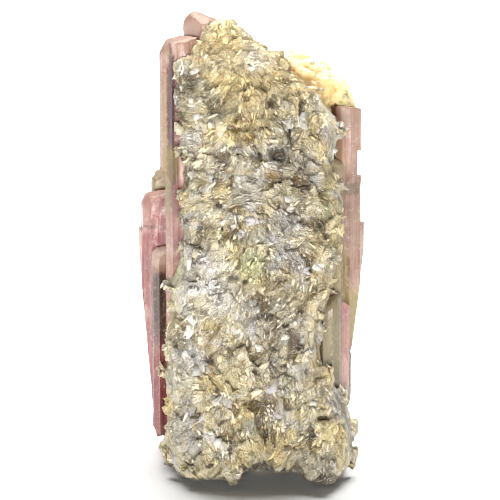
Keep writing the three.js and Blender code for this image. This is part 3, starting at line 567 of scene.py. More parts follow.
class Shading:
    """A material or a node group under construction."""

    def __init__(self, tree):
        self.tree = tree

    def add(self, kind, settings=None, **inputs):
        node = self.tree.nodes.new(kind)
        for key, value in (settings or {}).items():
            setattr(node, key, value)
        for key, value in inputs.items():
            self.feed(node, key.replace("_", " "), value)
        return node

    def feed(self, node, key, value):
        socket = node.inputs[int(key)] if key.isdigit() else node.inputs[key]
        if isinstance(value, bpy.types.NodeSocket):
            self.tree.links.new(value, socket)
        elif isinstance(value, (tuple, list)) and len(value) == 3 and socket.type == "RGBA":
            socket.default_value = (*value, 1)
        else:
            socket.default_value = value

    def add_numbered(self, kind, settings, *values):
        """Adds a node whose first sockets take the values in turn."""
        node = self.add(kind, settings)
        for index, value in enumerate(values):
            self.feed(node, str(index), value)
        return node

    def math(self, operation, *values):
        return self.add_numbered("ShaderNodeMath", {"operation": operation}, *values).outputs[0]

    def plus(self, first, second):
        return self.math("ADD", first, second)

    def times(self, first, second):
        return self.math("MULTIPLY", first, second)

    def vector(self, operation, *values):
        node = self.add_numbered("ShaderNodeVectorMath", {"operation": operation}, *values)
        return node.outputs["Value" if operation == "LENGTH" else "Vector"]

    def mix(self, share, first, second, how="MIX"):
        node = self.add("ShaderNodeMix", {"data_type": "RGBA", "blend_type": how})
        for socket, value in (("0", share), ("6", first), ("7", second)):
            self.feed(node, socket, value)
        return node.outputs[2]

    def ramp(self, value, low, high, start=0.0, end=1.0):
        """start where the value is at low, end where it is at high, and smooth between."""
        smooth = {"interpolation_type": "SMOOTHSTEP"}
        node = self.add_numbered("ShaderNodeMapRange", smooth, value, low, high, start, end)
        return node.outputs[0]

    def noise(self, place, scale, detail, **more):
        node = self.add("ShaderNodeTexNoise", Vector=place, Scale=scale, Detail=detail, **more)
        return node.outputs["Fac"]

    def attribute(self, name, output):
        return self.add("ShaderNodeAttribute", {"attribute_name": name}).outputs[output]

    def group(self, name, **inputs):
        tree = bpy.data.node_groups[name]
        return self.add("ShaderNodeGroup", {"node_tree": tree}, **inputs).outputs

    def finish_surface(self, surface, colour, rough, height, strength, depth, ior):
        """Feeds a shader its colour, its roughness and a bump of so many millimetres."""
        bump = self.add("ShaderNodeBump", Strength=strength, Distance=depth * MM, Height=height)
        self.feed(surface, "Base Color", colour)
        self.feed(surface, "Roughness", rough)
        self.feed(surface, "Normal", bump.outputs[0])
        surface.inputs["IOR"].default_value = ior


def start_group(name, inputs, outputs):
    tree = bpy.data.node_groups.new(name, "ShaderNodeTree")
    for label, kind, default in inputs:
        socket = tree.interface.new_socket(label, in_out="INPUT", socket_type=f"NodeSocket{kind}")
        if default is not None:
            socket.default_value = default
    for label in outputs:
        tree.interface.new_socket(label, in_out="OUTPUT", socket_type="NodeSocketFloat")
    shading = Shading(tree)
    return shading, shading.add("NodeGroupInput").outputs, shading.add("NodeGroupOutput")


def start_material(name):
    """A material with a shader, and the place on the piece in millimetres."""
    material = bpy.data.materials.new(name)
    material.use_nodes = True
    shading = Shading(material.node_tree)
    surface = material.node_tree.nodes["Principled BSDF"]
    place = shading.add("ShaderNodeTexCoord").outputs["Object"]
    return material, shading, surface, shading.vector("MULTIPLY", place, (1 / MM, 1 / MM, 1 / MM))


def make_striation_group():
    """Lines along a prism: Lines for the colour, Height for the relief."""
    shading, given, out = start_group(
        "Striation", [("Place", "Vector", None), ("Pitch", "Float", 0.4), ("Drift", "Float", 0.02)],
        ["Lines", "Height"],
    )
    scale = shading.math("DIVIDE", 1.0, given["Pitch"])
    slow = shading.times(scale, given["Drift"])
    stretch = shading.add("ShaderNodeCombineXYZ", X=scale, Y=scale, Z=slow).outputs[0]
    drawn = shading.vector("MULTIPLY", given["Place"], stretch)
    coarse = shading.noise(drawn, 1.0, 3.0, Roughness=0.65)
    fine = shading.noise(drawn, 3.7, 2.0, Roughness=0.6)
    both = shading.plus(coarse, shading.times(fine, 0.5))
    shading.feed(out, "Lines", shading.ramp(both, 0.55, 0.95))
    shading.feed(out, "Height", both)


def make_grain_group():
    """Sugary or earthy grain: Specks for the colour, Height for the relief."""
    shading, given, out = start_group(
        "Grain", [("Place", "Vector", None), ("Size", "Float", 0.3)], ["Specks", "Height"],
    )
    scale = shading.math("DIVIDE", 1.0, given["Size"])
    cells = shading.add("ShaderNodeTexVoronoi", Vector=given["Place"], Scale=scale)
    cloud = shading.noise(given["Place"], scale, 4.0, Roughness=0.7)
    shading.feed(out, "Specks", shading.ramp(cloud, 0.35, 0.65))
    shading.feed(out, "Height", shading.math("SUBTRACT", cloud, cells.outputs["Distance"]))


def make_fibre_group():
    """Fibres along a flake: Dark and Light streaks for the colour, Height for the relief.
    On sheet is the place along and across the flake in millimetres, and the flake's number."""
    shading, given, out = start_group(
        "Fibres", [("On sheet", "Vector", None), ("Place", "Vector", None)],
        ["Dark", "Light", "Height"],
    )
    wide = shading.vector("MULTIPLY", given["On sheet"], (0.8, 3.2, 1))
    thin = shading.vector("MULTIPLY", given["On sheet"], (1.8, 9, 1))
    broad = shading.noise(wide, 1.0, 3.0, Roughness=0.6, Distortion=0.4)
    fine = shading.noise(thin, 1.0, 2.0, Roughness=0.6, Distortion=0.3)
    grit = shading.noise(given["Place"], 3.6, 3.0, Roughness=0.7)
    total = shading.plus(shading.plus(broad, fine), shading.times(grit, 1.2))
    shading.feed(out, "Dark", shading.ramp(total, 1.52, 1.22))
    shading.feed(out, "Light", shading.ramp(total, 1.62, 1.92))
    shading.feed(out, "Height", total)


def make_crack_group():
    """Healed cracks, which cross a prism as thin pale lines, nearly level."""
    shading, given, out = start_group(
        "Veils", [("Place", "Vector", None), ("Size", "Float", 3.0), ("Share", "Float", 0.5)],
        ["Mask"],
    )
    scale = shading.math("DIVIDE", 1.0, given["Size"])
    flat = shading.vector("MULTIPLY", given["Place"], (0.35, 0.35, 1))
    warped = shading.noise(flat, scale, 4.0)
    line = shading.math("ABSOLUTE", shading.math("SUBTRACT", warped, 0.5))
    line = shading.ramp(line, 0.012, 0.0)
    patchy = shading.noise(given["Place"], scale, 2.0)
    limit = shading.math("SUBTRACT", 1.0, given["Share"])
    some = shading.ramp(shading.math("SUBTRACT", patchy, limit), -0.05, 0.1)
    shading.feed(out, "Mask", shading.times(line, some))


def make_patch_group():
    """A soft-edged patch round a centre, with a ragged rim."""
    shading, given, out = start_group(
        "Patch",
        [("Place", "Vector", None), ("Centre", "Vector", None), ("Size", "Vector", (1, 1, 1)),
         ("Raggedness", "Float", 0.5)],
        ["Mask"],
    )
    offset = shading.vector("SUBTRACT", given["Place"], given["Centre"])
    away = shading.vector("DIVIDE", offset, given["Size"])
    rough = shading.noise(given["Place"], 1.3, 3.0)
    uneven = shading.math("SUBTRACT", shading.times(rough, 2.0), 1.0)
    reach = shading.plus(shading.vector("LENGTH", away), shading.times(uneven, given["Raggedness"]))
    shading.feed(out, "Mask", shading.ramp(reach, 0.65, 1.25, 1.0, 0.0))


def make_groups():
    make_striation_group()
    make_grain_group()
    make_fibre_group()
    make_crack_group()
    make_patch_group()


# ---------------------------------------------------------------- crystals

# Kinds of tourmaline: colour of the body, colour of the depths, and how clear the kind is.
KINDS = {
    "pink": ("pink", "deep_pink", 0.1), "rose": ("rose", "deep_rose", 0.15),
    "plum": ("plum", "deep_plum", 0.2), "olive": ("olive", "deep_olive", 0.25),
    "grey": ("grey", "deep_grey", 0.4),
}
ZONE_DEPTH = 100  # half size of a coloured zone from front to back, which runs right through
ALONG_CUT = 1.6  # height of the small faces that a prism's flanks are cut into
ACROSS_CUT = 0.4  # their width, and their height near the prism's top
WORN_LENGTH = 3.0  # how far from a broken end its wear reaches
GROOVES_DRAWN = [1, 1, 0.012]  # the grooves hardly change along a prism
NICKS_DRAWN = [1, 1, 0.6]  # the nicks are a little taller than wide


def tourmaline_material(name, settings, kind, zones):
    """Tourmaline with striations, a few healed cracks and its own coloured zones."""
    material, shading, surface, place = start_material(name)
    *own, clearness = KINDS[kind]
    body, deep, pale, tan = (tuple(getattr(settings, tint)) for tint in (*own, "pale", "tan"))
    coarse = shading.group("Striation", Place=place, Pitch=1.3, Drift=0.03)
    fine = shading.group("Striation", Place=place, Pitch=0.33, Drift=0.03)
    cloud = shading.noise(place, 0.22, 3.0)
    colour = shading.mix(shading.ramp(cloud, 0.35, 0.7), body, deep)
    colour = shading.mix(shading.times(coarse["Lines"], 0.75), colour, deep)
    bands = shading.noise(shading.vector("MULTIPLY", place, (0.09, 0.09, 0.13)), 1.0, 4.0)
    deeper = shading.times(shading.ramp(bands, 0.52, 0.66), 0.6)
    colour = shading.mix(deeper, colour, deep)
    paler = shading.times(shading.ramp(bands, 0.46, 0.36), 0.35)
    colour = shading.mix(paler, colour, pale)
    dusty = shading.ramp(shading.noise(place, 0.9, 5.0, Roughness=0.7), 0.5, 0.75)
    colour = shading.mix(shading.times(fine["Lines"], 0.25), colour, pale)
    colour = shading.mix(shading.times(dusty, 0.3), colour, pale)
    for x, height, half_width, half_height, tinge, strength in zones:
        centre, size = (x, 0, height), (half_width, ZONE_DEPTH, half_height)
        mask = shading.group("Patch", Place=place, Centre=centre, Size=size)["Mask"]
        uneven = shading.math("SUBTRACT", strength, shading.times(fine["Lines"], 0.2))
        colour = shading.mix(shading.times(mask, uneven), colour, tuple(getattr(settings, tinge)))
    veils = shading.group("Veils", Place=place, Size=2.4, Share=0.4)["Mask"]
    colour = shading.mix(shading.times(veils, 0.35), colour, pale)
    broken = shading.attribute("Broken", "Fac")
    colour = shading.mix(shading.times(broken, 0.28), colour, tan)
    rough = shading.plus(0.19, shading.times(dusty, 0.25))
    rough = shading.plus(rough, shading.times(broken, 0.4))
    grain = shading.group("Grain", Place=place, Size=0.35)["Height"]
    height = shading.plus(fine["Height"], shading.times(grain, broken))
    shading.finish_surface(surface, colour, rough, height, 0.6, 0.08, 1.63)
    surface.inputs["Transmission Weight"].default_value = clearness
    return material


def slice_up(piece, across, up):
    """Cuts a prism's faces into small ones, so that its flanks and ends can take relief."""
    low, high = (np.array(corner) for corner in (piece.bound_box[0], piece.bound_box[6]))
    bpy.ops.object.mode_set(mode="EDIT")
    bpy.ops.mesh.select_all(action="SELECT")
    bpy.ops.mesh.dissolve_limited(angle_limit=math.radians(0.5))
    for axis, pitch in ((0, across), (1, across), (2, up)):
        levels = np.arange(low[axis] + pitch / 2, high[axis], pitch)
        if axis == 2:
            levels = np.append(levels, np.arange(high[2] - 2 * up, high[2], across))
        for level in levels:
            bpy.ops.mesh.select_all(action="SELECT")
            point = [0.0, 0.0, 0.0]
            point[axis] = level
            bpy.ops.mesh.bisect(plane_co=point, plane_no=Vector(point).normalized())
    bpy.ops.mesh.select_all(action="SELECT")
    bpy.ops.mesh.remove_doubles(threshold=0.01 * MM)
    bpy.ops.mesh.quads_convert_to_tris()
    bpy.ops.object.mode_set(mode="OBJECT")


def to_nearest_end(places):
    """How far each place on a prism is, in height, from the nearer of its two ends."""
    heights = places[:, 2]
    return np.minimum(heights.max() - heights, heights - heights.min())


def wear_ends(mesh, reach):
    """Rounds off a prism's two broken ends up to reach mm from them."""
    places = vertex_places(mesh)
    worn = fade(to_nearest_end(places), reach, 0.5 * reach)
    move_vertices(mesh, smoothed(mesh, places, 0.5 * worn, 5))


def carve_prism(mesh, settings, seed):
    """Presses striations and nicks into the flanks and relief into the broken ends."""
    places = vertex_places(mesh)
    normals = vertex_normals(mesh)
    broken = fade(np.abs(normals[:, 2]), 0.25, 0.6)
    drawn = places * GROOVES_DRAWN
    grooves = noise(drawn, settings.flute_pitch / MM, seed) + 0.6 * noise(drawn, 0.21, seed + 1)
    depth = (0.5 + 0.5 * grooves / 1.6) * settings.flute_depth / MM * (1 - broken)
    nicks = fade(waves(places * NICKS_DRAWN, 1.5, seed + 2), 0.35, 0.8)
    nicks = nicks * settings.chip_depth / MM
    relief = waves(places, 1.1, seed + 3) * settings.break_relief / MM * broken
    move_vertices(mesh, keep_above_floor(places - normals * (depth + nicks - relief)[:, None]))
    bruised = np.maximum(fade(nicks, 0.05, 0.2) * 0.7, 0.6 * fade(to_nearest_end(places), 4.5, 1.5))
    mark(mesh, np.maximum(broken, bruised), "Broken")


class SPECIMEN_OT_add_crystals(bpy.types.Operator):
    """Makes the tourmaline prisms, with grooved and nicked flanks and broken ends"""

    bl_idname = "specimen.add_crystals"
    bl_label = "Add Crystals"

    def execute(self, context):
        settings = context.scene.specimen_crystals
        finishes = {
            kind: tourmaline_material(f"{kind} tourmaline", settings, kind, ()) for kind in KINDS
        }
        for seed, (name, kind) in enumerate(CRYSTALS.items()):
            piece = copy_of(f"tourmaline_{name}", f"crystal_{name}")
            slice_up(piece, ACROSS_CUT * MM, ALONG_CUT * MM)
            wear_ends(piece.data, WORN_LENGTH)
            carve_prism(piece.data, settings, 40 + 5 * seed)
            smooth_up_to(28)
            finish = finishes[kind]
            if name in ZONES:
                finish = tourmaline_material(
                    f"{kind} tourmaline, {name}", settings, kind, ZONES[name],
                )
            finish_piece(piece, finish, SLOTS[kind], f"tourmaline_{name}")
        return {"FINISHED"}


# ---------------------------------------------------------------- crust

# Facets of the crust's skin: width, slope, how far they are drawn out along the flow, and seed.
BROAD_FACETS = (3.2, 0.34, 1.6, 111)
FLAKY_FACETS = (1.7, 0.4, 1.9, 112)
SCALY_FACETS = (0.75, 0.25, 2.4, 117)
RIVALS = 5  # how many facets near a place are compared to find its own
HIGHEST = 0.6  # how far the skin may rise from the solid
DEEPEST = -1.4  # and how far it may sink, except near the top
DEEPEST_AT_TOP = 0.9  # how much less it may sink there
SKIN_SHADES = 0.09  # how much the facets differ in brightness
SHEET_SHADES = 0.12  # how much the books of mica do


def near_side(places):
    """1 on the crust's near face, fading to 0 behind it."""
    _, y, z = places.T
    return fade(y - np.interp(z, *NEAR_FACE), FRONT_REACH, FRONT_REACH - 3)


def crust_colours(settings, places):
    """The crust's colour at each place, before its crevices and pits are darkened and before light;
    the brightened clean parts hold painted light.
    """
    tint = tints(
        settings, "cream", "white", "silver", "lilac", "ochre", "amber", "yellow", "green", "brown",
    )
    z = places[:, 2]
    colours = np.tile(tint["cream"], (len(places), 1))
    colours = blend(colours, tint["silver"], 0.8 * fade(waves(places, 5, 101), 0.05, 0.25))
    rusty = 0.6 - 0.25 * fade(z, 22, 12)
    colours = blend(colours, tint["ochre"], rusty * fade(waves(places, 3.4, 102), 0.12, 0.3))
    colours = blend(colours, tint["white"], 0.75 * fade(waves(places, 3, 103), 0.15, 0.3))
    greenish = fade(waves(places, 4, 104), 0.4, 0.7) * fade(z, 50, 40)
    colours = blend(colours, tint["green"], 0.2 * greenish)
    front = near_side(places)
    ragged = 0.55 * waves(places, 2.6, 105, 4)
    for *spot, name, strength in STAINS:
        away = from_spot(places, *spot) + ragged
        colours = blend(colours, tint[name], strength * front * fade(away, 1.3, 0.3))
    veins = fade(np.abs(waves(places, 3.1, 107)), 0.12, 0.0)
    veins = veins * fade(noise(places, 4, 108), -0.1, 0.4)
    # The clean parts are brightened and lose the brown veins; over the top the brightening is
    # painted light.
    clean = clean_share(places)
    colours = blend(colours, tint["brown"], 0.45 * veins * (1 - clean))
    bright = 1 + 0.4 * np.clip(waves(places, 2.6, 109, 2), -0.3, 0.5) + 0.2 * clean
    warm = np.clip(waves(places, 4.2, 122, 2), -0.5, 0.5)
    return colours * bright[:, None] * (1 + warm[:, None] * [0.1, 0.03, -0.3])


def clean_share(places):
    """How clean the mica is at each place, from 0 to 1, which also brightens it; over the top this
    is painted light.
    """
    share = np.zeros(len(places))
    for *spot, strength in CLEAN_AND_LIT:
        share = np.maximum(share, strength * fade(from_spot(places, *spot), 1.2, 0.5))
    return share * near_side(places)


def hollow_shade(places):
    """How deep in a pit or a crack each place lies, from 0 to 1."""
    front = near_side(places)
    shade = np.zeros(len(places))
    ragged = 0.6 * waves(places, 1.4, 106)
    for *spot, strength in HOLLOWS:
        away = from_spot(places, *spot) + ragged
        shade = np.maximum(shade, strength * front * fade(away, 1.2, 0.5))
    return shade


def flow_turn(places):
    """Direction in which the mica runs at each place, as an angle from the level."""
    x, _, z = places.T
    turn = 1.2 + 1.6 * noise(places, 9.0, 120) + 0.8 * noise(places, 3.5, 121)
    for x0, z0, x1, z1, half_width in STREAMS:
        run = np.array([x1 - x0, z1 - z0])
        share = np.clip(((x - x0) * run[0] + (z - z0) * run[1]) / (run @ run), 0, 1)
        away = np.hypot(x - x0 - share * run[0], z - z0 - share * run[1])
        swing = (math.atan2(run[1], run[0]) - turn + math.pi / 2) % math.pi - math.pi / 2
        turn = turn + swing * fade(away, 1.7 * half_width, 0.6 * half_width)
    return turn


def nearest_facets(places, seeds, directions, stretch):
    """The facet that each place belongs to, and how far inside it the place lies. Facets are
    drawn out by stretch along their own directions."""
    tree = KDTree(len(seeds))
    for index, seed in enumerate(seeds):
        tree.insert(seed, index)
    tree.balance()
    choices = np.array([[index for _, index, _ in tree.find_n(place, RIVALS)] for place in places])
    away = places[:, None] - seeds[choices]
    along = np.sum(away * directions[choices], axis=2)
    reach = np.sum(away**2, axis=2) - along**2 * (1 - 1 / stretch**2)
    order = np.argsort(reach, axis=1)
    sorted_reach = np.sqrt(np.take_along_axis(reach, order, axis=1))
    own = np.take_along_axis(choices, order, axis=1)[:, 0]
    return own, sorted_reach[:, 1] - sorted_reach[:, 0]


def facet_relief(places, normals, gap, slope, stretch, seed):
    """Rise of a face broken into flat facets; for each place its facet, how far inside it the
    place lies, and where on it."""
    random = np.random.default_rng(seed)
    chosen = spread_out(places, random.permutation(len(places)), gap)
    turn = flow_turn(places[chosen]) + random.normal(0, 0.25, len(chosen))
    directions = side_vector(normals[chosen], turn)
    own, inset = nearest_facets(places, places[chosen], directions, stretch)
    sideways = np.cross(normals[chosen], directions)
    tilt = directions * random.normal(0, 0.5 * slope, (len(chosen), 1))
    tilt = tilt + sideways * random.normal(0, slope, (len(chosen), 1))
    away = places - places[chosen][own]
    rise = np.sum(away * tilt[own], axis=1)
    rise = rise + random.normal(0, 0.18 * slope * gap, len(chosen))[own]
    on_facet = np.stack([
        np.sum(away * directions[own], axis=1),
        np.sum(away * sideways[own], axis=1),
        random.uniform(0, 90, len(chosen))[own],
    ], axis=1)
    return rise, own, inset, on_facet


def spread_out(places, order, gap):
    """Picks places in the given order that are at least a gap apart."""
    taken = {}
    kept = []
    cells = np.floor(places / gap).astype(int)
    for index in order:
        x, y, z = cells[index]
        spot = places[index]
        near = (
            other
            for dx in (-1, 0, 1) for dy in (-1, 0, 1) for dz in (-1, 0, 1)
            for other in taken.get((x + dx, y + dy, z + dz), ())
        )
        if all(((other - spot) ** 2).sum() > gap * gap for other in near):
            taken.setdefault((x, y, z), []).append(spot)
            kept.append(index)
    return np.array(kept)


def mica_material(name, roughness, relief, contrast):
    """Mica: the piece's own tint, streaked along each flake and sprinkled with specks."""
    material, shading, surface, place = start_material(name)
    tint = shading.attribute("Tint", "Color")
    fibres = shading.group("Fibres", On_sheet=shading.attribute("On sheet", "Vector"), Place=place)
    grain = shading.group("Grain", Place=place, Size=0.16)
    darker = shading.mix(1.0, tint, (0.52, 0.38, 0.15), "MULTIPLY")
    lighter = shading.mix(0.6, tint, (0.95, 0.93, 0.88))
    colour = shading.mix(shading.times(fibres["Dark"], contrast), tint, darker)
    colour = shading.mix(shading.times(fibres["Light"], contrast), colour, lighter)
    colour = shading.mix(shading.times(grain["Specks"], 0.25), colour, darker)
    rough = shading.plus(roughness, shading.times(grain["Specks"], 0.3))
    height = shading.plus(fibres["Height"], shading.times(grain["Height"], 0.35))
    shading.finish_surface(surface, colour, rough, height, 1.0, relief, 1.57)
    return material


class SPECIMEN_OT_add_crust(bpy.types.Operator):
    """Makes the skin of the crust, broken into facets and crevices, which the mica stands in"""

    bl_idname = "specimen.add_crust"
    bl_label = "Add Crust"

    def execute(self, context):
        settings = context.scene.specimen_crust
        piece = copy_of("mica_crust", "crust_skin")
        even_faces(piece, settings.skin_step)
        mesh = piece.data
        move_vertices(mesh, smoothed(mesh, vertex_places(mesh), 0.5, 8))
        places, normals = vertex_places(mesh), soft_normals(mesh)
        broad, _, _, _ = facet_relief(places, normals, *BROAD_FACETS)
        flaky, flake, _, on_flake = facet_relief(places, normals, *FLAKY_FACETS)
        scaly, scale, inset, _ = facet_relief(places, normals, *SCALY_FACETS)
        lumps = 0.5 * waves(places, 5.5, 110, 2)
        facets = (lumps + broad + flaky + scaly) * (settings.skin_relief / MM)
        furrow = fade(np.abs(waves(places, 4.2, 114)), 0.1, 0.02)
        furrow = furrow * fade(noise(places, 5, 115), -0.3, 0.2)
        shade = hollow_shade(places)
        rise = self.find_rise(places, normals, facets, furrow, shade)
        raised = self.hold_left_edge(places, places + normals * rise[:, None])
        move_vertices(mesh, keep_above_floor(raised))

        # Painted shade with dirt: crevices, furrows and low places of the skin are darkened towards
        # the crevice colour, except on the clean parts
        crevice = 0.35 * fade(inset, 0.1, 0.0) * fade(noise(places, 0.9, 118), -0.2, 0.4)
        crevice = np.maximum(crevice, 0.6 * furrow)
        low = np.maximum(fade(rise - lumps, -0.1, -0.7), crevice)
        random = np.random.default_rng(116)
        shades = random.lognormal(0, SKIN_SHADES, flake.max() + 1)[flake]
        shades = shades * random.lognormal(0, SKIN_SHADES, scale.max() + 1)[scale]
        colours = crust_colours(settings, places) * np.clip(shades, 0.6, 1.3)[:, None]
        colours = blend(colours, np.array(settings.dirt), 0.7 * low * (1 - clean_share(places)))
        # Painted shade: pits and cracks, and the underside near the floor under the arch, are
        # painted towards the pit colour
        under = 0.8 * fade(normals[:, 2], -0.45, -0.75) * fade(places[:, 2], 7, 5)
        dark = np.maximum(0.85 * fade(shade, 0.1, 0.9), under)
        colours = blend(colours, np.array(settings.pit), dark)
        paint(mesh, not_too_bright(colours))
        mark_vectors(mesh, on_flake, "On sheet")
        thinned = piece.modifiers.new("Fewer faces on the flats", "DECIMATE")
        thinned.ratio = settings.skin_share
        bpy.ops.object.modifier_apply(modifier=thinned.name)
        smooth_up_to(46)
        finish_piece(piece, mica_material("crust skin", 0.6, 0.55, 1.1), "mica_crust", "mica_crust")
        return {"FINISHED"}

    def find_rise(self, places, normals, facets, furrow, shade):
        """How far the skin rises from the solid at each place. The sides, which lie close to
        the crystals, rise less and are drawn in."""
        x, _, z = places.T
        grit = 0.08 * noise(places, 0.42, 113)
        rise = facets + grit - 0.35 * furrow - 0.85 * shade
        side_on = fade(np.abs(normals[:, 0]), 0.3, 0.8)
        drawn_in = 0.3 + 0.7 * fade(-x, 9, 11) * fade(z, 44, 50)
        rise = rise * (1 - 0.75 * side_on) - drawn_in * side_on * fade(z, 14, 20)
        return np.clip(rise + 0.05, DEEPEST + DEEPEST_AT_TOP * fade(z, 60, 66), HIGHEST)

    def hold_left_edge(self, places, raised):
        """Keeps the upper crust's left edge off the crystal beside it."""
        edge = LEFT_EDGE + 0.35 * noise(places, 1.1, 119)
        held = near_side(places) * fade(places[:, 2], 43, 46) * fade(-places[:, 0], 9, 10)
        raised[:, 0] += held * np.maximum(0, edge - raised[:, 0])
        return raised


# ---------------------------------------------------------------- mica sheets and plates

# Corners of a sheet, as shares of its length and of its width.
OUTLINES = np.array([
    [(0, -0.35), (0.55, -0.5), (1.0, -0.2), (0.9, 0.4), (0.35, 0.5)],
    [(0.05, -0.2), (0.8, -0.5), (1.0, 0.15), (0.6, 0.5), (0, 0.3)],
    [(0, -0.45), (0.7, -0.4), (0.95, -0.1), (0.75, 0.5), (0.1, 0.4)],
    [(0.1, -0.5), (1.0, -0.35), (0.85, 0.1), (1.0, 0.45), (0, 0.35)],
])


class SheetFamily(NamedTuple):
    """One habit of the mica, which grows in books. Each pair is a least and a greatest value."""

    gap: float  # how close the books may lie
    share: float  # how many of them are made
    sheets: tuple  # sheets in a book
    lift: tuple  # angle at which their length leans out of the face
    stand: tuple  # 0 stands their width up, and a quarter turn lays it flat
    length: tuple
    width: tuple
    thickness: tuple
    spacing: tuple  # between two sheets of a book
    fan: tuple  # turn between two sheets of a book
    sink: float  # depth of the book's middle under the skin


FAMILIES = {
    "leaves": SheetFamily(1.3, 0.24, (1, 3), (-0.12, 0.1), (1.2, 1.57), (1.0, 2.2), (0.5, 1.1),
                          (0.04, 0.06), (0.06, 0.1), (-0.1, 0.1), 0.12),
    "scales": SheetFamily(0.5, 0.34, (1, 1), (-0.1, 0.16), (0.9, 1.57), (0.6, 1.6), (0.22, 0.6),
                          (0.03, 0.05), (0, 0), (0, 0), 0.02),
    "edges": SheetFamily(1.5, 0.2, (3, 5), (-0.1, 0.12), (0.1, 0.8), (1.2, 2.6), (0.35, 0.6),
                         (0.03, 0.05), (0.1, 0.18), (-0.04, 0.04), 0.27),
    "fans": SheetFamily(1.6, 0.14, (4, 8), (0.0, 0.3), (0.5, 1.2), (0.8, 1.6), (0.35, 0.6),
                        (0.03, 0.05), (0.06, 0.1), (0.06, 0.14), 0.27),
    "chips": SheetFamily(0.36, 0.25, (1, 1), (-0.4, 0.4), (0.7, 1.5), (0.15, 0.35), (0.12, 0.25),
                         (0.03, 0.05), (0, 0), (0, 0), 0.0),
}
LOWEST_BOOK = 0.9  # height under which no book grows
MOST_SHADE = 0.4  # how deep in a pit a book may still grow
BOOK_REACH = 0.9  # how far a book reaches out; none grows where that lies in a crystal
LOWEST_SHEET = 0.02  # height that no corner of a sheet goes under
PALE_BOOKS = 0.05  # share of the books that are clean and pale
PLATE_SIDES = 5
PLATE_LEAVES = 4
PLATE_THICKNESS = 0.035
PLATE_SPACING = 0.05  # between two leaves of a plate
PLATE_SINK = 0.08  # depth of a plate's first leaf


def sheet_spots(random, gap):
    """Places on the crust's skin, at least a gap apart, with their outward directions. Leaves
    out the underside, the pits, some of the sides and what a crystal covers."""
    mesh = bpy.data.objects["crust_skin"].data
    places, normals = vertex_places(mesh), soft_normals(mesh)
    kept = spread_out(places, random.permutation(len(places)), gap)
    places, normals = places[kept], normals[kept]
    keep = (places[:, 2] > LOWEST_BOOK) & (normals[:, 2] > -0.3)
    keep &= hollow_shade(places) < MOST_SHADE
    thinned = fade(np.abs(normals[:, 0]), 0.55, 0.85) * (0.45 + 0.4 * fade(places[:, 2], 13, 18))
    keep &= random.random(len(places)) > thinned
    ahead = places + BOOK_REACH * normals
    for name in CRYSTALS:
        low, high = (np.array(corner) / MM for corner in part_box(f"tourmaline_{name}"))
        keep &= ~np.all((ahead > low) & (ahead < high), axis=1)
    return places[keep], normals[keep]


def grow_family(family, settings, random):
    """All the sheets of one habit: their points, colours, places on the sheet and heights."""
    places, normals = sheet_spots(random, family.gap)
    keep = random.random(len(places)) < family.share * fade(places[:, 2], -6, 9)
    places, normals = places[keep], normals[keep]
    count = len(places)
    sheets = random.integers(family.sheets[0], family.sheets[1] + 1, count)
    lift = random.uniform(*family.lift, count)
    stand = random.uniform(*family.stand, count)
    side = side_vector(normals, flow_turn(places) + random.normal(0, 0.3, count))
    side = side * random.choice([-1, 1], (count, 1))
    along = unit(side * np.cos(lift)[:, None] + normals * np.sin(lift)[:, None])
    level = np.cross(normals, side)
    upright = unit(np.cross(level, along))
    upright *= np.sign(np.sum(upright * normals, axis=1))[:, None]
    hinge = unit(upright * np.cos(stand)[:, None] + level * np.sin(stand)[:, None])
    stack = np.cross(hinge, along)
    length = random.uniform(*family.length, count)
    width = random.uniform(*family.width, count)
    spacing = random.uniform(*family.spacing, count)
    fan = random.uniform(*family.fan, count)

    book = np.repeat(np.arange(count), sheets)
    off_middle = np.arange(len(book)) - np.repeat(np.cumsum(sheets) - sheets, sheets)
    off_middle = off_middle - (sheets[book] - 1) / 2
    total = len(book)
    turn = off_middle * fan[book] + random.normal(0, 0.05, total)
    direction = along[book] * np.cos(turn)[:, None] + stack[book] * np.sin(turn)[:, None]
    across = unit(hinge[book] + direction * random.normal(0, 0.1, (total, 1)))
    direction = unit(direction - across * np.sum(direction * across, axis=1)[:, None])
    sheet_length = length[book] * random.uniform(0.65, 1.1, total)
    sheet_width = width[book] * random.uniform(0.75, 1.15, total)
    thickness = random.uniform(*family.thickness, total)
    root = places[book] + stack[book] * (off_middle * spacing[book])[:, None]
    root = root - direction * (sheet_length * random.uniform(0.35, 0.6, total))[:, None]
    root = root - normals[book] * (family.sink + random.normal(0, 0.05, total))[:, None]
    outline = OUTLINES[random.integers(0, len(OUTLINES), total)]
    outline = outline + random.normal(0, 0.08, outline.shape)
    points = sheet_points(root, direction, across, outline, sheet_length, sheet_width, thickness)
    on_sheet = sheet_coordinates(outline, sheet_length, sheet_width, random)

    rise = np.sum((points - places[book][:, None]) * normals[book][:, None], axis=2)
    colours = sheet_colours(settings, places, book, rise, random)
    return points, colours, on_sheet, places[book, 2]


def sheet_coordinates(outline, length, width, random):
    """Each corner's place on its own sheet, with a number that differs from sheet to sheet."""
    flat = np.stack([
        outline[..., 0] * length[:, None],
        outline[..., 1] * width[:, None],
        np.broadcast_to(random.uniform(0, 90, (len(outline), 1)), outline.shape[:2]),
    ], axis=2)
    return np.concatenate([flat, flat], axis=1)


def sheet_colours(settings, places, book, rise, random):
    """Colours of the sheets' corners: the crust's own, a little different from book to book and
    from sheet to sheet, and darker where a corner lies in the skin, as dirt with painted shade."""
    own = crust_colours(settings, places)
    own = own * np.clip(random.lognormal(0.0, SHEET_SHADES, (len(places), 1)), 0.7, 1.3)
    pale = random.random(len(places)) < PALE_BOOKS
    own = blend(own, np.array(settings.white), 0.75 * pale)
    sheet = own[book] * random.uniform(0.9, 1.1, (len(book), 1))
    colours = np.repeat(sheet[:, None], rise.shape[1], axis=1)
    colours = blend(colours, np.array(settings.dirt), 0.6 * fade(rise, 0.0, -0.35))
    return not_too_bright(colours)


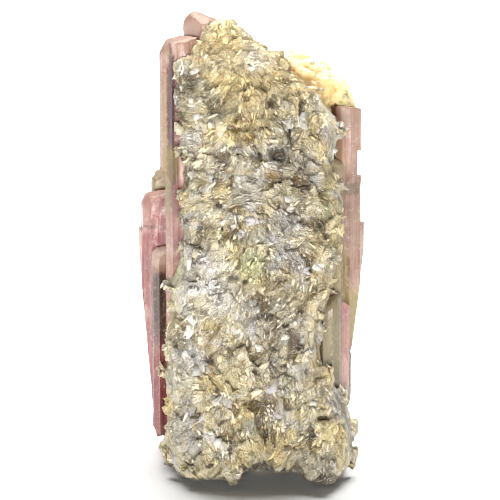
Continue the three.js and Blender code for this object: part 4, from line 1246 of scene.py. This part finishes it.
class SPECIMEN_OT_add_sheets(bpy.types.Operator):
    """Stands mica sheets all over the crust, one piece to each habit and band of height"""

    bl_idname = "specimen.add_sheets"
    bl_label = "Add Mica Sheets"

    def execute(self, context):
        settings = context.scene.specimen_crust
        material = mica_material("mica sheets", 0.48, 0.12, 0.7)
        for seed, (habit, family) in enumerate(FAMILIES.items()):
            random = np.random.default_rng(50 + seed)
            points, colours, on_sheet, heights = grow_family(family, settings, random)
            points[..., 2] = np.maximum(points[..., 2], LOWEST_SHEET)
            for name, (low, high) in BANDS.items():
                chosen = (heights >= low) & (heights < high)
                piece = sheets_piece(f"mica_{habit}_{name}", points[chosen], colours[chosen])
                mark_vectors(piece.data, on_sheet[chosen], "On sheet")
                finish_piece(piece, material, "mica_crust")
        return {"FINISHED"}


def surface_spot(x, z):
    """The place and outward direction of the crust's near side at x and a height."""
    skin = bpy.data.objects["crust_skin"]
    start = Vector((x * MM, -40 * MM, z * MM))
    found, place, normal, _ = skin.ray_cast(start, Vector((0, 1, 0)))
    if not found:
        raise RuntimeError(f"the crust has no near side at x {x}, height {z}")
    return np.array(place) / MM, np.array(normal)


def plate_outline(random):
    """Corners of a plate's leaf, as shares of its width and tallness: an uneven polygon."""
    turns = np.linspace(0, 2 * math.pi, PLATE_SIDES, endpoint=False)
    turns = turns + random.uniform(-0.35, 0.35, PLATE_SIDES)
    radii = 0.4 * (1 + random.uniform(-0.35, 0.25, PLATE_SIDES))
    return np.stack([radii * np.cos(turns), radii * np.sin(turns)], axis=1)[None]


class SPECIMEN_OT_add_plates(bpy.types.Operator):
    """Lays the large clean mica plates on the crust's near side"""

    bl_idname = "specimen.add_plates"
    bl_label = "Add Mica Plates"

    def execute(self, context):
        settings = context.scene.specimen_crust
        random = np.random.default_rng(9)
        points, colours, on_sheet = [], [], []
        for x, z, width, height, name in PLATES:
            place, outward = surface_spot(x, z)
            facing = np.array([random.uniform(-0.35, 0.35), -1, random.uniform(0.1, 0.7)])
            normal = unit(unit(facing) + 0.4 * outward)
            tint = np.array(getattr(settings, name))
            size = np.array([width]), np.array([height])
            for leaf in range(PLATE_LEAVES):
                tilted = unit(normal + random.normal(0, 0.15, 3))
                level = side_vector(tilted[None], random.uniform(-0.6, 0.6, 1))[0]
                upward = np.cross(tilted, level)
                outline = plate_outline(random)
                shift = random.uniform(-0.22, 0.22, 2) * (width, height)
                middle = place + normal * (PLATE_SPACING * leaf - PLATE_SINK)
                middle = middle + level * shift[0] + upward * shift[1]
                points.append(sheet_points(
                    middle[None], level[None], upward[None], outline, *size,
                    np.array([PLATE_THICKNESS]),
                )[0])
                colours.append(np.tile(tint * random.uniform(0.55, 0.78), (2 * PLATE_SIDES, 1)))
                on_sheet.append(sheet_coordinates(outline, *size, random)[0])
        piece = sheets_piece("mica_plates", np.array(points), np.array(colours))
        mark_vectors(piece.data, on_sheet, "On sheet")
        finish_piece(piece, mica_material("mica plates", 0.34, 0.03, 0.45), "mica_crust")
        return {"FINISHED"}


# ---------------------------------------------------------------- albite

# Facets of the lump's skin: width, slope, how far they are drawn out, and seed.
COARSE_ALBITE = (1.9, 0.3, 1.2, 136)
SUGARY_ALBITE = (0.8, 0.3, 1.2, 137)
ORANGE_SPOT = (6, 60.5, 3, 3)  # x, height, half width, half height
# Painted shade: an olive-brown patch on the lump's right side
OLIVE_SHADE_SPOT = (12, 55.1, 3, 2.5)
ALBITE_RELIEF = 0.5  # how far the lump's skin may rise or sink
GRAINS = 260
GRAIN_SINK = 0.1  # depth of a grain's middle under the skin
GRAIN_OUTLINE = np.array([(-0.5, -0.5), (0.4, -0.5), (0.55, 0.45), (-0.4, 0.5)])


def albite_colours(settings, places):
    """The lump's colour at each place: cream, with clean and with stained parts, and painted shade
    in an olive patch on its right.
    """
    tint = tints(settings, "cream", "white", "orange", "olive")
    colours = np.tile(tint["cream"], (len(places), 1))
    colours = blend(colours, tint["white"], fade(waves(places, 3.5, 131), 0, 0.5) * 0.4)
    colours = blend(colours, tint["orange"], fade(waves(places, 4, 132), 0.15, 0.6) * 0.3)
    # The orange spot is a stain, the olive one painted shade
    for name, spot, strength in (("orange", ORANGE_SPOT, 0.55), ("olive", OLIVE_SHADE_SPOT, 0.6)):
        stained = fade(from_spot(places, *spot), 1.2, 0.4)
        colours = blend(colours, tint[name], strength * stained)
    return colours


def albite_material():
    """Albite: the piece's own tint with a sugary grain, which lets some light through."""
    material, shading, surface, place = start_material("sugary albite")
    tint = shading.attribute("Tint", "Color")
    grain = shading.group("Grain", Place=place, Size=0.45)
    fine = shading.group("Grain", Place=place, Size=0.12)
    darker = shading.mix(1.0, tint, (0.8, 0.7, 0.5), "MULTIPLY")
    colour = shading.mix(shading.times(grain["Specks"], 0.25), tint, darker)
    rough = shading.plus(0.45, shading.times(fine["Specks"], 0.3))
    height = shading.plus(grain["Height"], shading.times(fine["Height"], 0.4))
    shading.finish_surface(surface, colour, rough, height, 0.6, 0.06, 1.53)
    surface.inputs["Subsurface Weight"].default_value = 0.7
    surface.inputs["Subsurface Radius"].default_value = (3 * MM, 2.2 * MM, 1.4 * MM)
    surface.inputs["Subsurface Scale"].default_value = 1.0
    return material


class SPECIMEN_OT_add_albite(bpy.types.Operator):
    """Makes the lump of sugary albite, with its small blocky grains"""

    bl_idname = "specimen.add_albite"
    bl_label = "Add Albite"

    def execute(self, context):
        settings = context.scene.specimen_albite
        piece = copy_of("albite_lump", "albite_skin")
        even_faces(piece, settings.skin_step)
        mesh = piece.data
        places, normals = vertex_places(mesh), vertex_normals(mesh)
        lumps = 0.35 * waves(places, 3.4, 135)
        coarse, _, _, _ = facet_relief(places, normals, *COARSE_ALBITE)
        sugary, _, _, _ = facet_relief(places, normals, *SUGARY_ALBITE)
        rise = lumps + coarse + sugary
        fuller = 0.8 * fade(places[:, 0], 11, 7) * fade(normals[:, 2], 0, 0.5)
        lower = 0.6 * fade(normals[:, 2], -0.2, -0.6)
        offset = np.clip(rise, -ALBITE_RELIEF, ALBITE_RELIEF) - 0.25 + fuller + lower
        move_vertices(mesh, places + normals * offset[:, None])
        colours = albite_colours(settings, places)
        # Painted shade with dirt: the lump's low places are darkened towards its crevice colour
        paint(mesh, blend(colours, np.array(settings.dirt), 0.4 * fade(rise, 0.1, -0.35)))
        smooth_up_to(60)
        material = albite_material()
        finish_piece(piece, material, "albite", "albite_lump")
        self.add_grains(mesh, settings, material)
        return {"FINISHED"}

    def add_grains(self, mesh, settings, material):
        """Sets small blocks of albite into the lump's skin."""
        random = np.random.default_rng(13)
        places, normals = vertex_places(mesh), vertex_normals(mesh)
        chosen = random.choice(len(places), GRAINS, replace=False)
        places, normals = places[chosen], normals[chosen]
        lie = 3 * noise(places, 3, 140) + random.normal(0, 0.4, GRAINS)
        lift = random.uniform(-0.4, 0.4, GRAINS)
        side = side_vector(normals, lie)
        along = unit(side * np.cos(lift)[:, None] + normals * np.sin(lift)[:, None])
        across = unit(np.cross(normals, along))
        size = settings.grain / MM * random.lognormal(0, 0.3, GRAINS)
        outline = GRAIN_OUTLINE + random.normal(0, 0.05, (GRAINS, *GRAIN_OUTLINE.shape))
        width = size * random.uniform(0.5, 0.9, GRAINS)
        thickness = size * random.uniform(0.3, 0.6, GRAINS)
        middle = places - normals * GRAIN_SINK
        points = sheet_points(middle, along, across, outline, size, width, thickness)
        own = albite_colours(settings, places) * random.uniform(0.93, 1.05, (GRAINS, 1))
        colours = not_too_bright(np.repeat(own, points.shape[1], axis=0))
        finish_piece(sheets_piece("albite_grains", points, colours), material, "albite")


# ---------------------------------------------------------------- stage

FLOOR_SIZE = 8000
KEY_PLACE, KEY_SIZE = (0, 560, 1500), (1600, 800)
FILL_PLACE, FILL_SIZE = (-60, -1000, 60), (460, 100)
LIGHTS_AIM = (0, 0, 35)
SENSOR_WIDTH = 36
NEAREST_SEEN = 10


class SPECIMEN_OT_set_stage(bpy.types.Operator):
    """Lays the floor and sets the soft lights and the camera"""

    bl_idname = "specimen.set_stage"
    bl_label = "Set Stage"

    def execute(self, context):
        settings = context.scene.specimen_stage
        self.lay_floor(settings)
        self.light_sky(context, settings)
        self.add_light("key", KEY_PLACE, KEY_SIZE, settings.key)
        self.add_light("fill", FILL_PLACE, FILL_SIZE, settings.fill)
        self.set_camera(context, settings)
        return {"FINISHED"}

    def lay_floor(self, settings):
        bpy.ops.object.select_all(action="DESELECT")
        bpy.ops.mesh.primitive_plane_add(size=FLOOR_SIZE * MM, location=(0, 0, 0))
        floor = bpy.context.active_object
        floor.name = "floor"
        material, shading, surface, place = start_material("floor")
        cloud = shading.noise(place, 0.01, 2.0)
        dim = tuple(0.97 * share for share in settings.floor)
        shading.feed(surface, "Base Color", shading.mix(cloud, dim, tuple(settings.floor)))
        surface.inputs["Roughness"].default_value = 0.6
        floor.data.materials.append(material)

    def light_sky(self, context, settings):
        world = bpy.data.worlds.new("studio")
        world.use_nodes = True
        shading = Shading(world.node_tree)
        direction = shading.add("ShaderNodeTexCoord").outputs["Generated"]
        height = shading.add("ShaderNodeSeparateXYZ", Vector=direction).outputs["Z"]
        strength = shading.ramp(height, 0.0, 0.9, settings.horizon, settings.sky)
        background = world.node_tree.nodes["Background"]
        background.inputs["Color"].default_value = (1, 1, 1, 1)
        shading.feed(background, "Strength", strength)
        context.scene.world = world

    def add_light(self, name, place, size, power):
        """Adds a rectangular light that shines on the specimen."""
        bpy.ops.object.light_add(type="AREA", location=Vector(place) * MM)
        light = bpy.context.active_object
        light.name = name
        light.data.shape = "RECTANGLE"
        light.data.size, light.data.size_y = (side * MM for side in size)
        light.data.energy = power
        toward = Vector(LIGHTS_AIM) * MM - light.location
        light.rotation_euler = toward.to_track_quat("-Z", "Y").to_euler()

    def set_camera(self, context, settings):
        back = Vector((0, -math.cos(settings.elevation), math.sin(settings.elevation)))
        bpy.ops.object.camera_add(location=Vector(settings.aim) + back * settings.distance)
        camera = bpy.context.active_object
        camera.name = "camera"
        camera.rotation_euler = (math.radians(90) - settings.elevation, 0, 0)
        camera.data.lens = settings.lens
        camera.data.sensor_width = SENSOR_WIDTH
        camera.data.clip_start = NEAREST_SEEN * MM
        context.scene.camera = camera
        context.scene.view_settings.view_transform = "Standard"
        context.scene.cycles.filter_width = 1.0


# ---------------------------------------------------------------- panel and registration

OPERATORS = (
    SPECIMEN_OT_add_crystals, SPECIMEN_OT_add_crust, SPECIMEN_OT_add_sheets,
    SPECIMEN_OT_add_plates, SPECIMEN_OT_add_albite, SPECIMEN_OT_set_stage,
)
SETTINGS = {
    "specimen_crystals": CrystalSettings, "specimen_crust": CrustSettings,
    "specimen_albite": AlbiteSettings, "specimen_stage": StageSettings,
}


class SPECIMEN_PT_panel(bpy.types.Panel):
    """Lists the specimen's pieces and their settings"""

    bl_idname = "SPECIMEN_PT_panel"
    bl_label = "Tourmaline Specimen"
    bl_space_type = "VIEW_3D"
    bl_region_type = "UI"
    bl_category = "Specimen"

    def draw(self, context):
        for operator in OPERATORS:
            self.layout.operator(operator.bl_idname)
        for attribute in SETTINGS:
            settings = getattr(context.scene, attribute)
            box = self.layout.box()
            for key in settings.bl_rna.properties.keys():
                if key not in ("rna_type", "name"):
                    box.prop(settings, key)


CLASSES = (*SETTINGS.values(), *OPERATORS, SPECIMEN_PT_panel)


def register():
    for item in CLASSES:
        bpy.utils.register_class(item)
    for attribute, group in SETTINGS.items():
        setattr(bpy.types.Scene, attribute, bpy.props.PointerProperty(type=group))


def unregister():
    for attribute in SETTINGS:
        delattr(bpy.types.Scene, attribute)
    for item in reversed(CLASSES):
        bpy.utils.unregister_class(item)


def main():
    register()
    make_groups()
    bpy.ops.object.select_all(action="DESELECT")
    bpy.ops.specimen.add_crystals()
    bpy.ops.specimen.add_crust()
    bpy.ops.specimen.add_sheets()
    bpy.ops.specimen.add_plates()
    bpy.ops.specimen.add_albite()
    bpy.ops.specimen.set_stage()


if __name__ == "__main__":
    main()
